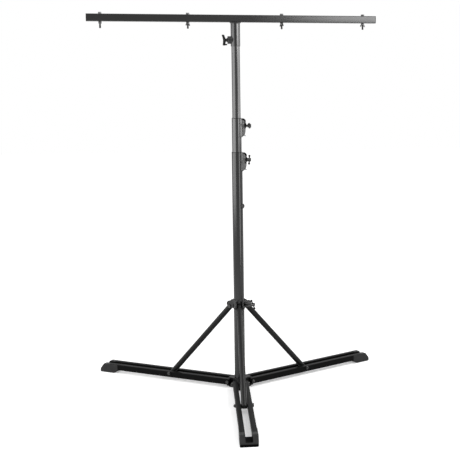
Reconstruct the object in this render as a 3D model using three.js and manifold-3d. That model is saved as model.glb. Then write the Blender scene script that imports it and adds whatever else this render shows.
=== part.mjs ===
// Lighting stand with a T bar: a three-part telescopic mast on a folding tripod of twin-tube legs,
// with a square crossbar that carries lamps on four bolts.
// Millimetres, +Z up. The origin is on the floor, on the mast's axis; the front leg points to -Y.
import * as THREE from "three";
import { mergeVertices } from "three/addons/utils/BufferGeometryUtils.js";
import Module from "manifold-3d";

const wasm = await Module();
wasm.setup();

// Driving dimensions of the mast
const lowerTubeOuter = 45;
const midTubeOuter = 40;
const topTubeOuter = 35;
const tubeWall = 1.5;
const lowerTubeTop = 1009;
const midTubeRise = 142;
const midTubeLength = 1000;
const topTubeLength = 1050;
const basePadHeight = 3;

// Driving dimensions of the crossbar and its socket
const crossbarLength = 1200;
const crossbarSide = 30;
const crossbarWall = 1.5;
const crossbarTop = 1576;
const crossbarTurnDegrees = 6;
const socketHeight = 98;
const socketWall = 1.7;
const outerBoltInset = 55;
const innerBoltShare = 0.1625;

// Driving dimensions of the tripod
const legTubeWidth = 20;
const legTubeHeight = 25;
const legTubeWall = 1.5;
const legGap = 26;
const legMidHeight = 27;
const legPivotRadius = 44;
const strutPivotRadius = 332;
const strutPivotLift = 5;
const footTipRadius = 695.5;
const footLength = 95.5;
const legTubeInsertion = 44;
const strutOuter = 24;
const strutWall = 1.5;
const collarPivotRadius = 38;
const collarPivotHeight = 355;

// Clearances and common hardware
const seatGap = 0.3;
const slideGap = 0.4;
const overrun = 2;
const boltDiameter = 8;
const boltHoleGap = 0.4;
const boltHeadAcross = 13;
const boltHeadHeight = 5.5;
const nutHeight = 6.5;
const screwDiameter = 10;
const mastSegments = 32;
const roundSegments = 16;
const smallSegments = 10;
const pinSegments = 8;
const arcSegments = 4;
const cornerSegments = 2;

const legAnglesDegrees = { front: -90, right: 30, left: 150 };

// Values worked out from the driving dimensions
const lowerTubeRadius = lowerTubeOuter / 2;
const midTubeRadius = midTubeOuter / 2;
const topTubeRadius = topTubeOuter / 2;
const crossbarBottom = crossbarTop - crossbarSide;
const crossbarMid = crossbarTop - crossbarSide / 2;
const midTubeTop = lowerTubeTop + midTubeRise;
const strutRadius = strutOuter / 2;
const boltRadius = boltDiameter / 2;
const boltHoleRadius = boltRadius + boltHoleGap;
const screwRadius = screwDiameter / 2;
const screwHoleRadius = screwRadius + slideGap;
const legHalfWidth = legGap / 2 + legTubeWidth;
const strutPivotHeight = legMidHeight + strutPivotLift;
const footInnerRadius = footTipRadius - footLength;
const legTubeEndRadius = footInnerRadius + legTubeInsertion;

// Materials of the real pieces
const finish = (color, roughness, metalness) =>
  new THREE.MeshStandardMaterial({ color, roughness, metalness });
const blackPowder = finish(0x2c2c2e, 0.42, 0.35);
const blackCast = finish(0x242426, 0.5, 0.4);
const blackPlastic = finish(0x1b1b1c, 0.55, 0);
const blackRubber = finish(0x161616, 0.8, 0);
const darkSteel = finish(0x38383a, 0.35, 0.8);
const nylon = finish(0x2a2a2a, 0.6, 0);

// A closed three.js geometry becomes a solid that can be joined and cut.
function solid(geometry) {
  const plain = geometry.clone();
  plain.deleteAttribute("normal");
  plain.deleteAttribute("uv");
  const merged = mergeVertices(plain, 1e-4);
  return new wasm.Manifold(
    new wasm.Mesh({
      numProp: 3,
      vertProperties: new Float32Array(merged.attributes.position.array),
      triVerts: new Uint32Array(merged.index.array),
    }),
  );
}

// The solid's surface as a three.js geometry with flat faces.
function surface(body) {
  const mesh = body.getMesh();
  const geometry = new THREE.BufferGeometry();
  geometry.setAttribute("position", new THREE.BufferAttribute(mesh.vertProperties, mesh.numProp));
  geometry.setIndex(new THREE.BufferAttribute(mesh.triVerts, 1));
  const flat = geometry.toNonIndexed();
  flat.computeVertexNormals();
  return flat;
}

const moved = (body, x, y, z) => body.translate([x, y, z]);
const joined = (...bodies) => bodies.reduce((whole, body) => whole.add(body));
const cut = (body, ...tools) => tools.reduce((whole, tool) => whole.subtract(tool), body);

// Round bar between two heights on the Z axis.
function rod(radius, bottom, top, segments = roundSegments) {
  const geometry = new THREE.CylinderGeometry(radius, radius, top - bottom, segments);
  geometry.rotateX(Math.PI / 2);
  geometry.translate(0, 0, (top + bottom) / 2);
  return solid(geometry);
}

// Round bar along +X or +Y, between two places on that axis.
const rodAlongX = (radius, start, end, segments) =>
  rod(radius, start, end, segments).rotate([0, 90, 0]);
const rodAlongY = (radius, start, end, segments) =>
  rod(radius, start, end, segments).rotate([-90, 0, 0]);

// Hexagonal bar between two heights on the Z axis, by its size across the flats.
function hexagon(across, bottom, top) {
  return rod(across / Math.sqrt(3), bottom, top, 6);
}

// Plain tube between two heights on the Z axis.
function tube(outerRadius, innerRadius, bottom, top, segments = mastSegments) {
  return cut(
    rod(outerRadius, bottom, top, segments),
    rod(innerRadius, bottom - overrun, top + overrun, segments),
  );
}

// Box between two opposite corners.
function block(low, high) {
  const size = high.map((value, i) => value - low[i]);
  const geometry = new THREE.BoxGeometry(...size);
  geometry.translate(...high.map((value, i) => (value + low[i]) / 2));
  return solid(geometry);
}

// A shape drawn in x and y, carried up the Z axis.
function prism(shape, bottom, top, curveSegments = arcSegments) {
  const geometry = new THREE.ExtrudeGeometry(shape, {
    depth: top - bottom,
    bevelEnabled: false,
    curveSegments,
  });
  geometry.translate(0, 0, bottom);
  return solid(geometry);
}

// A side profile drawn in x and z, carried across the Y axis.
const sidePrism = (shape, start, end, curveSegments) =>
  prism(shape, -end, -start, curveSegments).rotate([90, 0, 0]);

// Closed outline through a list of points.
function outline(points) {
  return new THREE.Shape(points.map(([x, y]) => new THREE.Vector2(x, y)));
}

// Rectangle about the origin with rounded corners.
function roundedRectangle(width, height, radius) {
  const x = width / 2;
  const y = height / 2;
  const shape = new THREE.Shape();
  shape.moveTo(x - radius, -y);
  shape.absarc(x - radius, -y + radius, radius, -Math.PI / 2, 0, false);
  shape.absarc(x - radius, y - radius, radius, 0, Math.PI / 2, false);
  shape.absarc(-x + radius, y - radius, radius, Math.PI / 2, Math.PI, false);
  shape.absarc(-x + radius, -y + radius, radius, Math.PI, Math.PI * 1.5, false);
  shape.closePath();
  return shape;
}

// Rectangular hollow section along +X between two places.
function boxTube(width, height, wall, cornerRadius, start, end) {
  const y = width / 2 - wall;
  const z = height / 2 - wall;
  const inside = block([start - overrun, -y, -z], [end + overrun, y, z]);
  const outside = prism(roundedRectangle(width, height, cornerRadius), start, end, cornerSegments);
  return cut(outside.rotate([90, 0, 90]), inside);
}

const stand = new THREE.Group();

// Adds a solid to a group as a named mesh.
function piece(group, name, body, material) {
  const mesh = new THREE.Mesh(surface(body), material);
  mesh.name = name;
  group.add(mesh);
  return mesh;
}

// A group turned about the mast's axis.
function turnedGroup(degrees, parent = stand) {
  const group = new THREE.Group();
  group.rotation.z = THREE.MathUtils.degToRad(degrees);
  parent.add(group);
  return group;
}

// Bolt along +Y, centred, with a hexagonal head at one end and its nut at the other.
function crossBolt(gripLength) {
  const half = gripLength / 2 + seatGap;
  const threadOverhang = 2;
  const nutTop = half + nutHeight;
  const standing = joined(
    rod(boltRadius, -nutTop - threadOverhang, half + overrun, smallSegments),
    hexagon(boltHeadAcross, half, half + boltHeadHeight),
    hexagon(boltHeadAcross, -nutTop, -half),
  );
  return standing.rotate([90, 0, 0]);
}

// Mast: lower tube

// The clamps' screws pass through the tubes' walls on this side of the mast.
const clampTurnDegrees = -6;
const clampScrewDrop = 31;
const clampLinerDepth = 58;
const stopTurnDegrees = -36;
const stopRadius = 10;

function radialHole(radius, height, degrees, reach) {
  return moved(rodAlongX(radius, 0, reach, smallSegments), 0, 0, height).rotate([0, 0, degrees]);
}

const lowerTube = cut(
  tube(lowerTubeRadius, lowerTubeRadius - tubeWall, basePadHeight + seatGap, lowerTubeTop),
  radialHole(screwHoleRadius, lowerTubeTop - clampScrewDrop, clampTurnDegrees, lowerTubeOuter),
);
piece(stand, "lower_tube", lowerTube, blackPowder);

// The base pad closes the lower tube and stands on the floor under the hub.
const hubRingWall = 5.5;
const hubRingOuter = lowerTubeRadius + slideGap + hubRingWall;
const padPlugHeight = 15;
const basePad = joined(
  rod(hubRingOuter - seatGap, 0, basePadHeight),
  rod(lowerTubeRadius - tubeWall - slideGap, 0, basePadHeight + padPlugHeight),
);
piece(stand, "mast_base_pad", basePad, blackRubber);

// Base hub: a cast ring with three lugs between the legs' tubes and a lobe below each pair.
const hubTop = 44;
const hubLugReach = legPivotRadius + legTubeHeight / 2 + overrun;
const hubPlateReach = legPivotRadius + legTubeHeight * 0.18;
const hubLugHalf = legGap / 2 - seatGap;
const hubLugTop = legMidHeight + legTubeHeight / 2 + overrun;
const hubPlateGap = 3.2;
const hubPlateTop = legMidHeight - legTubeHeight / 2 - hubPlateGap;
const hubPlateHalf = legHalfWidth - legTubeWidth / 2;
const hubLugRound = legTubeHeight / 2;

function hubArm() {
  const lug = new THREE.Shape();
  lug.moveTo(0, basePadHeight + seatGap);
  lug.lineTo(hubLugReach, basePadHeight + seatGap);
  lug.lineTo(hubLugReach, hubLugTop - hubLugRound);
  lug.absarc(hubLugReach - hubLugRound, hubLugTop - hubLugRound, hubLugRound, 0, Math.PI / 2, false);
  lug.lineTo(0, hubLugTop);
  lug.closePath();
  const plate = new THREE.Shape();
  const plateRound = hubPlateHalf * 0.45;
  plate.moveTo(0, -hubPlateHalf);
  const plateCorner = hubPlateReach - plateRound;
  plate.lineTo(plateCorner, -hubPlateHalf);
  plate.absarc(plateCorner, -hubPlateHalf + plateRound, plateRound, -Math.PI / 2, 0, false);
  plate.absarc(plateCorner, hubPlateHalf - plateRound, plateRound, 0, Math.PI / 2, false);
  plate.lineTo(0, hubPlateHalf);
  plate.closePath();
  return joined(
    sidePrism(lug, -hubLugHalf, hubLugHalf),
    prism(plate, basePadHeight + seatGap, hubPlateTop),
  );
}

const hubPivotHole = moved(
  rodAlongY(boltHoleRadius, -hubLugReach, hubLugReach, smallSegments),
  legPivotRadius,
  0,
  legMidHeight,
);
let hub = rod(hubRingOuter, basePadHeight + seatGap, hubTop, mastSegments);
for (const degrees of Object.values(legAnglesDegrees)) {
  hub = hub.add(cut(hubArm(), hubPivotHole).rotate([0, 0, degrees]));
}
hub = cut(hub, rod(lowerTubeRadius + slideGap, 0, hubTop + overrun, mastSegments));
piece(stand, "base_hub", hub, blackCast);

// Legs: two box-section tubes side by side, a foot that joins their outer ends, and the bolts

const legTubeStart = legPivotRadius - legTubeHeight / 2 - overrun;
const legCorner = 2;

function legTube(side) {
  const straight = boxTube(
    legTubeWidth,
    legTubeHeight,
    legTubeWall,
    legCorner,
    legTubeStart,
    legTubeEndRadius,
  );
  const round = legTubeHeight / 2 + seatGap;
  const profile = new THREE.Shape();
  profile.moveTo(legTubeEndRadius + overrun, -round);
  profile.lineTo(legTubeEndRadius + overrun, round);
  profile.lineTo(legPivotRadius, round);
  profile.absarc(legPivotRadius, 0, round, Math.PI / 2, Math.PI * 1.5, false);
  profile.closePath();
  const rounded = straight.intersect(sidePrism(profile, -legTubeWidth, legTubeWidth));
  const hole = rodAlongY(boltHoleRadius, -legTubeWidth, legTubeWidth, smallSegments);
  return moved(
    cut(
      rounded,
      moved(hole, legPivotRadius, 0, 0),
      moved(hole, strutPivotRadius, 0, strutPivotLift),
    ),
    0,
    side * (legGap + legTubeWidth) * 0.5,
    legMidHeight,
  );
}

// The foot is a moulded shoe that holds both tube ends, level with their tops. Between them it is
// an open tray with a low front wall, which leaves room for the folded strut.
const footWall = 1.4;
const footHeelRadius = footInnerRadius + footLength * 0.22;
const footLip = 12;
const footCrestRadius = footTipRadius - footLength * 0.235;
const footCornerRound = 7;
const footEdge = 2;
const footTop = legMidHeight + legTubeHeight / 2;
const footHalfWidth = legHalfWidth + seatGap + footWall;
const footTrayHalf = legGap / 2;
const footTrayFloor = 8;
const footFrontWall = 5;
const footFrontTop = 16;

function foot() {
  const heelTop = legMidHeight - legTubeHeight / 2 - seatGap;
  const profile = outline([
    [footInnerRadius, heelTop - footEdge],
    [footHeelRadius, 0],
    [footTipRadius - footEdge, 0],
    [footTipRadius, footEdge],
    [footTipRadius, footLip],
    [footCrestRadius + footEdge, footTop - footEdge],
    [footCrestRadius - footEdge, footTop],
    [footInnerRadius, footTop],
  ]);
  const plan = roundedRectangle(footLength * 2, footHalfWidth * 2, footCornerRound);
  const planHeight = prism(plan, -overrun, footTop + overrun, cornerSegments + 1);
  const planBody = moved(planHeight, footInnerRadius, 0, 0);
  const socket = (side) => {
    const centre = (side * (legGap + legTubeWidth)) / 2;
    const half = legTubeWidth / 2 + seatGap;
    return block(
      [footInnerRadius - overrun, centre - half, legMidHeight - legTubeHeight / 2 - seatGap],
      [legTubeEndRadius + seatGap, centre + half, footTop + overrun],
    );
  };
  const tray = joined(
    block(
      [footInnerRadius - overrun, -footTrayHalf, footTrayFloor],
      [footTipRadius - footFrontWall, footTrayHalf, footTop + overrun],
    ),
    block(
      [footInnerRadius - overrun, -footTrayHalf, footFrontTop],
      [footTipRadius + overrun, footTrayHalf, footTop + overrun],
    ),
  );
  return cut(
    sidePrism(profile, -footHalfWidth, footHalfWidth).intersect(planBody),
    socket(1),
    socket(-1),
    tray,
  );
}

// A distance sleeve keeps the tubes apart at the strut's bolt, and the strut turns on it.
const sleeveRadius = 6;
const sleeveHalf = legGap / 2 - seatGap;

function strutSleeve() {
  const sleeve = tube(sleeveRadius, boltHoleRadius, -sleeveHalf, sleeveHalf, smallSegments);
  return moved(sleeve.rotate([90, 0, 0]), strutPivotRadius, 0, strutPivotHeight);
}

// Struts: a round tube with rounded, closed ends between the leg and the spreader collar

const strutReach = collarPivotRadius - strutPivotRadius;
const strutRise = collarPivotHeight - strutPivotHeight;
const strutLength = Math.hypot(strutReach, strutRise);
const strutAngle = Math.atan2(strutRise, strutReach);
const strutEndWall = 3;

function strut() {
  const round = strutRadius + seatGap;
  const profile = new THREE.Shape();
  profile.moveTo(0, -round);
  profile.lineTo(strutLength, -round);
  profile.absarc(strutLength, 0, round, -Math.PI / 2, Math.PI / 2, false);
  profile.lineTo(0, round);
  profile.absarc(0, 0, round, Math.PI / 2, Math.PI * 1.5, false);
  profile.closePath();
  const outer = rodAlongX(
    strutRadius,
    -strutRadius - overrun,
    strutLength + strutRadius + overrun,
  ).intersect(sidePrism(profile, -strutRadius - overrun, strutRadius + overrun));
  const inner = rodAlongX(
    strutRadius - strutWall,
    -strutRadius + strutEndWall,
    strutLength + strutRadius - strutEndWall,
  );
  const lowerHole = rodAlongY(
    sleeveRadius + boltHoleGap,
    -strutRadius - overrun,
    strutRadius + overrun,
  );
  const upperHole = rodAlongY(
    boltHoleRadius,
    -strutRadius - overrun,
    strutRadius + overrun,
    smallSegments,
  );
  return cut(outer, inner, lowerHole, moved(upperHole, strutLength, 0, 0));
}

// The strut lies in its leg's upright plane: it starts at the leg's bolt and leans to the mast.
function strutGroup(legGroup) {
  const group = new THREE.Group();
  group.position.set(strutPivotRadius, 0, strutPivotHeight);
  group.rotation.y = -strutAngle;
  legGroup.add(group);
  return group;
}

// Spreader collar: a ring that slides on the lower tube, with a pair of ears for each strut

const collarWall = 2;
const collarBelowPivot = 8;
const collarAbovePivot = 22;
const collarCrown = 9;
const collarBottom = collarPivotHeight - collarBelowPivot;
const collarTop = collarPivotHeight + collarAbovePivot;
const collarOuter = lowerTubeRadius + slideGap + collarWall;
const earThickness = 3;
const earGapHalf = strutRadius + slideGap * 2;
const earOuterHalf = earGapHalf + earThickness;
const earRound = 13.5;
const earLift = 10;
const collarScrewTurnDegrees = -30;
const collarBossRadius = 9.5;
const collarScrewHeight = collarTop - collarBossRadius - slideGap * 2;
const collarBossReach = 47;

// The way out of each ear for the strut's bolt: the fold lifts the bolt out between these two angles.
const earSlotLowDegrees = 48;
const earSlotHighDegrees = 74;

function earSlot() {
  const radius = boltHoleRadius;
  const reach = earRound * 2;
  const low = THREE.MathUtils.degToRad(earSlotLowDegrees);
  const high = THREE.MathUtils.degToRad(earSlotHighDegrees);
  const lowEdge = [radius * Math.sin(low), -radius * Math.cos(low)];
  const highEdge = [-radius * Math.sin(high), radius * Math.cos(high)];
  const wedge = outline([
    [0, 0],
    lowEdge,
    [lowEdge[0] + reach * Math.cos(low), lowEdge[1] + reach * Math.sin(low)],
    [highEdge[0] + reach * Math.cos(high), highEdge[1] + reach * Math.sin(high)],
    highEdge,
  ]);
  const slot = joined(
    sidePrism(wedge, -earOuterHalf - overrun, earOuterHalf + overrun),
    rodAlongY(radius, -earOuterHalf - overrun, earOuterHalf + overrun, smallSegments),
  );
  return moved(slot, collarPivotRadius, 0, collarPivotHeight);
}

function earPair() {
  const profile = new THREE.Shape();
  const bottom = collarBottom;
  const centre = collarPivotHeight + earLift;
  const top = centre + earRound;
  profile.moveTo(0, bottom);
  profile.lineTo(collarPivotRadius, bottom);
  profile.absarc(collarPivotRadius, centre, earRound, -Math.PI / 4, Math.PI / 2, false);
  profile.lineTo(0, top);
  profile.closePath();
  const pair = cut(
    sidePrism(profile, -earOuterHalf, earOuterHalf),
    block([0, -earGapHalf, bottom - overrun], [collarPivotRadius * 2, earGapHalf, top + overrun]),
  );
  return cut(pair, earSlot());
}

// The crown is the ring's upper edge. Its notch goes round the collar stop when the legs are folded.
const collarNotch = block(
  [0, -stopRadius - slideGap * 2, collarTop],
  [lowerTubeOuter, stopRadius + slideGap * 2, collarTop + collarCrown + overrun],
);
let collar = cut(
  rod(collarOuter, collarBottom, collarTop + collarCrown, mastSegments),
  collarNotch.rotate([0, 0, stopTurnDegrees]),
);
for (const degrees of Object.values(legAnglesDegrees)) {
  collar = collar.add(earPair().rotate([0, 0, degrees]));
}
const collarBoss = moved(rodAlongX(collarBossRadius, 0, collarBossReach), 0, 0, collarScrewHeight);
collar = collar.add(collarBoss.rotate([0, 0, collarScrewTurnDegrees]));
collar = cut(
  collar,
  rod(
    lowerTubeRadius + slideGap,
    collarBottom - overrun,
    collarTop + collarCrown + overrun,
    mastSegments,
  ),
  radialHole(screwHoleRadius, collarScrewHeight, collarScrewTurnDegrees, collarBossReach + overrun),
);
piece(stand, "spreader_collar", collar, blackCast);

for (const [side, degrees] of Object.entries(legAnglesDegrees)) {
  const legGroup = turnedGroup(degrees);
  piece(legGroup, "leg_tube_a_" + side, legTube(1), blackPowder);
  piece(legGroup, "leg_tube_b_" + side, legTube(-1), blackPowder);
  piece(legGroup, "foot_" + side, foot(), blackPlastic);
  const hubBolt = piece(legGroup, "hub_bolt_" + side, crossBolt(legHalfWidth * 2), darkSteel);
  hubBolt.position.set(legPivotRadius, 0, legMidHeight);
  const legBolt = piece(legGroup, "strut_bolt_" + side, crossBolt(legHalfWidth * 2), darkSteel);
  legBolt.position.set(strutPivotRadius, 0, strutPivotHeight);
  piece(legGroup, "strut_sleeve_" + side, strutSleeve(), nylon);
  const leaning = strutGroup(legGroup);
  piece(leaning, "strut_" + side, strut(), blackPowder);
  const collarBolt = piece(leaning, "collar_bolt_" + side, crossBolt(earOuterHalf * 2), darkSteel);
  collarBolt.position.set(strutLength, 0, 0);
}

// T screws: a threaded shank with a round head, and a loose-fitting bar with ball ends through it

const headRadius = 7.5;
const headHeight = 15;
const tommyRadius = 2.8;
const tommyHalf = 24;
const ballRadius = 4.6;
const padRadius = 4.6;
const padThickness = 2;
const boreGap = 0.2;

// Screw along +X from its tip to the head that holds the bar at barReach.
function tScrew(tip, barReach) {
  const screw = joined(
    rodAlongX(screwRadius, tip, barReach, smallSegments),
    rodAlongX(headRadius, barReach - headHeight / 2, barReach + headHeight / 2, smallSegments),
  );
  const bore = rod(tommyRadius + boreGap, -headHeight, headHeight, smallSegments);
  return cut(screw, moved(bore, barReach, 0, 0));
}

// Bar with a ball at each end, along Z, as one turned piece.
function tommyBar(barReach) {
  const profile = new THREE.Shape();
  const contact = Math.asin(tommyRadius / ballRadius);
  profile.moveTo(0, -tommyHalf - ballRadius);
  profile.absarc(0, -tommyHalf, ballRadius, -Math.PI / 2, Math.PI / 2 - contact, false);
  profile.lineTo(tommyRadius, tommyHalf - ballRadius * Math.cos(contact));
  profile.absarc(0, tommyHalf, ballRadius, -Math.PI / 2 + contact, Math.PI / 2, false);
  const points = profile.getPoints(cornerSegments + 1);
  points[0].x = 0;
  points[points.length - 1].x = 0;
  const spin = new THREE.LatheGeometry(points, smallSegments);
  spin.rotateX(Math.PI / 2);
  spin.translate(barReach, 0, 0);
  return solid(spin);
}

// Places a T screw on the mast: turned about the mast, and rolled about its own axis.
function tScrewSet(name, height, turnDegrees, rollDegrees, tip, barReach) {
  const group = turnedGroup(turnDegrees);
  const rolled = new THREE.Group();
  rolled.position.z = height;
  rolled.rotation.x = THREE.MathUtils.degToRad(rollDegrees);
  group.add(rolled);
  piece(rolled, name + "_screw", tScrew(tip, barReach), darkSteel);
  piece(rolled, name + "_tommy_bar", tommyBar(barReach), blackPlastic);
  return rolled;
}

const collarBarReach = 66;
const collarScrewRoll = 35;
tScrewSet(
  "collar",
  collarScrewHeight,
  collarScrewTurnDegrees,
  collarScrewRoll,
  lowerTubeRadius + seatGap,
  collarBarReach,
);

// Clamps: a cast body on the top of the lower and mid tubes, a flanged liner and a T screw

const clampHeight = 81;
const clampHalfWidth = 11;
const clampNoseReach = 19.5;
const clampTopRound = 15;
const clampHeelHeight = 58;
const clampBossRadius = 8.5;
const clampBossLength = 1;
const saddleWall = 2.6;
const saddleHalfAngleDegrees = 46;
const saddlePointDrop = 9;
const lipReach = 5;
const linerWall = 0.6;
const linerInnerGap = 0.2;
const linerFlange = 1.2;

// Side profile of the clamp's nose, from the tube outwards, with the lip at its heel.
function noseProfile(tubeRadius) {
  const reach = tubeRadius + clampNoseReach;
  const heelSlope = 2.5;
  const profile = new THREE.Shape();
  profile.moveTo(0, 0);
  profile.lineTo(reach - clampTopRound, 0);
  profile.absarc(reach - clampTopRound, -clampTopRound, clampTopRound, Math.PI / 2, 0, true);
  profile.lineTo(reach - heelSlope, -clampHeelHeight);
  profile.lineTo(reach - heelSlope - lipReach * 0.7, -clampHeelHeight - lipReach * 2);
  profile.lineTo(reach - heelSlope, -clampHeelHeight - lipReach * 3.2);
  profile.lineTo(reach - heelSlope - lipReach * 1.4, -clampHeelHeight - lipReach * 2.9);
  profile.lineTo(tubeRadius - overrun, -clampHeight);
  profile.lineTo(0, -clampHeight);
  profile.closePath();
  return profile;
}

function clampBody(tubeRadius) {
  const reach = tubeRadius + clampNoseReach;
  const plan = new THREE.Shape();
  plan.moveTo(0, -clampHalfWidth);
  plan.lineTo(reach - clampHalfWidth, -clampHalfWidth);
  plan.absarc(reach - clampHalfWidth, 0, clampHalfWidth, -Math.PI / 2, Math.PI / 2, false);
  plan.lineTo(0, clampHalfWidth);
  plan.closePath();
  const nose = sidePrism(noseProfile(tubeRadius), -clampHalfWidth - overrun, clampHalfWidth + overrun)
    .intersect(prism(plan, -clampHeight - overrun, overrun));
  const saddleRadius = tubeRadius + slideGap + saddleWall;
  const halfAngle = THREE.MathUtils.degToRad(saddleHalfAngleDegrees);
  const flare = saddleRadius * 2;
  const sector = outline([
    [0, 0],
    [flare * Math.cos(halfAngle), -flare * Math.sin(halfAngle)],
    [flare * 2, 0],
    [flare * Math.cos(halfAngle), flare * Math.sin(halfAngle)],
  ]);
  const saddle = rod(saddleRadius, -clampHeight + saddlePointDrop, 0, mastSegments).intersect(
    prism(sector, -clampHeight - overrun, overrun),
  );
  const boss = rodAlongX(clampBossRadius, tubeRadius, reach + clampBossLength);
  return cut(
    joined(nose, saddle, moved(boss, 0, 0, -clampScrewDrop)),
    rod(tubeRadius + slideGap, -clampHeight - overrun, overrun, mastSegments),
    moved(rodAlongX(screwHoleRadius, 0, reach * 2, smallSegments), 0, 0, -clampScrewDrop),
  );
}

// The liner's flange covers the tube's rim, and its sleeve guides the inner tube.
function clampLiner(outerTubeRadius, innerTubeRadius) {
  const inner = innerTubeRadius + linerInnerGap;
  const sleeve = joined(
    rod(inner + linerWall, -clampLinerDepth, seatGap + linerFlange, mastSegments),
    rod(outerTubeRadius, seatGap, seatGap + linerFlange, mastSegments),
  );
  return cut(
    sleeve,
    rod(inner, -clampLinerDepth - overrun, linerFlange + overrun, mastSegments),
    moved(rodAlongX(screwHoleRadius, 0, outerTubeRadius * 2, smallSegments), 0, 0, -clampScrewDrop),
  );
}

const clampSets = [
  {
    name: "lower_clamp",
    rim: lowerTubeTop,
    outerTubeRadius: lowerTubeRadius,
    innerTubeRadius: midTubeRadius,
    barReach: 51,
    rollDegrees: -52,
  },
  {
    name: "upper_clamp",
    rim: midTubeTop,
    outerTubeRadius: midTubeRadius,
    innerTubeRadius: topTubeRadius,
    barReach: 53,
    rollDegrees: -110,
  },
];

for (const clamp of clampSets) {
  const group = turnedGroup(clampTurnDegrees);
  const body = piece(group, clamp.name + "_body", clampBody(clamp.outerTubeRadius), blackCast);
  body.position.z = clamp.rim;
  const liner = clampLiner(clamp.outerTubeRadius, clamp.innerTubeRadius);
  piece(group, clamp.name + "_liner", liner, blackPlastic).position.z = clamp.rim;
  const padStart = clamp.innerTubeRadius + seatGap;
  const screwTip = padStart + padThickness + seatGap;
  const pressurePad = rodAlongX(padRadius, padStart, padStart + padThickness, smallSegments);
  const screwHeight = clamp.rim - clampScrewDrop;
  const set = tScrewSet(
    clamp.name,
    screwHeight,
    clampTurnDegrees,
    clamp.rollDegrees,
    screwTip,
    clamp.barReach,
  );
  piece(set, clamp.name + "_pressure_pad", pressurePad, nylon);
}

// Inner tubes: each has a guide plug at its foot and pin holes near its top

const pinHoleRadius = 3;
const midPinHoleDrop = 99;
const topPinHoleHeights = [1235, 1355];
const glideFlange = 3;
const glideDepth = 24;

function guidePlug(tubeRadius, boreRadius, bottom) {
  const plugBottom = bottom - glideFlange - seatGap;
  return joined(
    rod(boreRadius - slideGap, plugBottom, bottom - seatGap, mastSegments),
    rod(tubeRadius - tubeWall - slideGap, plugBottom, bottom + glideDepth, mastSegments),
  );
}

function pinHole(height) {
  const hole = rodAlongX(pinHoleRadius, -lowerTubeOuter, lowerTubeOuter, pinSegments);
  return moved(hole, 0, 0, height).rotate([0, 0, clampTurnDegrees]);
}

const midTubeBottom = midTubeTop - midTubeLength;
const midTube = cut(
  tube(midTubeRadius, midTubeRadius - tubeWall, midTubeBottom, midTubeTop),
  pinHole(midTubeTop - midPinHoleDrop),
  radialHole(screwHoleRadius, midTubeTop - clampScrewDrop, clampTurnDegrees, lowerTubeOuter),
);
piece(stand, "mid_tube", midTube, blackPowder);
const midPlug = guidePlug(midTubeRadius, lowerTubeRadius - tubeWall, midTubeBottom);
piece(stand, "mid_tube_guide_plug", midPlug, nylon);

// The socket's closed top rests on the top tube.
const socketTopWall = 4;
const topTubeTop = crossbarBottom - seatGap - socketTopWall - seatGap;
const topTubeBottom = topTubeTop - topTubeLength;
const topTube = cut(
  tube(topTubeRadius, topTubeRadius - tubeWall, topTubeBottom, topTubeTop),
  ...topPinHoleHeights.map(pinHole),
);
piece(stand, "top_tube", topTube, blackPowder);
const topPlug = guidePlug(topTubeRadius, midTubeRadius - tubeWall, topTubeBottom);
piece(stand, "top_tube_guide_plug", topPlug, nylon);

// Collar stop: a round pad screwed to the lower tube, which the spreader collar meets when folded

const stopThickness = 6.5;
const stopScrewHead = 4;
const stopScrewRadius = 2;
const stopHeadRadius = 4;
const strutAcrossFolded = legPivotRadius - strutPivotLift - collarPivotRadius;
const foldedPivotHeight =
  legMidHeight +
  (strutPivotRadius - legPivotRadius) +
  Math.sqrt(strutLength ** 2 - strutAcrossFolded ** 2);
const stopHeight = foldedPivotHeight + collarAbovePivot + slideGap + stopRadius;

function collarStop() {
  const pad = rodAlongX(stopRadius, 0, lowerTubeRadius + stopThickness);
  return cut(
    pad,
    rod(lowerTubeRadius + seatGap, -stopRadius * 2, stopRadius * 2, mastSegments),
    rodAlongX(stopHeadRadius + seatGap, lowerTubeRadius + stopScrewHead, lowerTubeOuter, smallSegments),
    rodAlongX(stopScrewRadius + seatGap, 0, lowerTubeOuter, smallSegments),
  );
}

const stopGroup = turnedGroup(stopTurnDegrees);
piece(stopGroup, "collar_stop", collarStop(), blackRubber).position.z = stopHeight;
const stopScrew = joined(
  rodAlongX(
    stopScrewRadius,
    lowerTubeRadius + seatGap,
    lowerTubeRadius + stopScrewHead + overrun,
    smallSegments,
  ),
  rodAlongX(
    stopHeadRadius,
    lowerTubeRadius + stopScrewHead + seatGap,
    lowerTubeRadius + stopThickness,
    smallSegments,
  ),
);
piece(stopGroup, "collar_stop_screw", stopScrew, darkSteel).position.z = stopHeight;

// T bar: a square tube with end caps, welded on a socket that fits over the top tube

const barGroup = turnedGroup(crossbarTurnDegrees);
const crossbarCorner = 2.5;
const capThickness = 2.5;
const barHalf = crossbarLength / 2 - capThickness - seatGap;
const outerBolt = crossbarLength / 2 - outerBoltInset;
const innerBolt = crossbarLength * innerBoltShare;
const barBoltPlaces = [-outerBolt, -innerBolt, innerBolt, outerBolt];

const barHole = rod(
  boltHoleRadius,
  crossbarBottom - overrun,
  crossbarTop + overrun,
  smallSegments,
);
const crossbar = cut(
  moved(
    boxTube(crossbarSide, crossbarSide, crossbarWall, crossbarCorner, -barHalf, barHalf),
    0,
    0,
    crossbarMid,
  ),
  ...barBoltPlaces.map((place) => moved(barHole, place, 0, 0)),
);
piece(barGroup, "crossbar", crossbar, blackPowder);

const capPlugLength = 14;

function endCap() {
  const half = crossbarSide / 2 - crossbarWall - seatGap;
  const plug = block([-half, -half, -capPlugLength], [half, half, capThickness / 2]);
  const plate = prism(
    roundedRectangle(crossbarSide, crossbarSide, crossbarCorner),
    0,
    capThickness,
    cornerSegments,
  );
  return plug.add(plate).rotate([90, 0, 90]);
}

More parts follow.
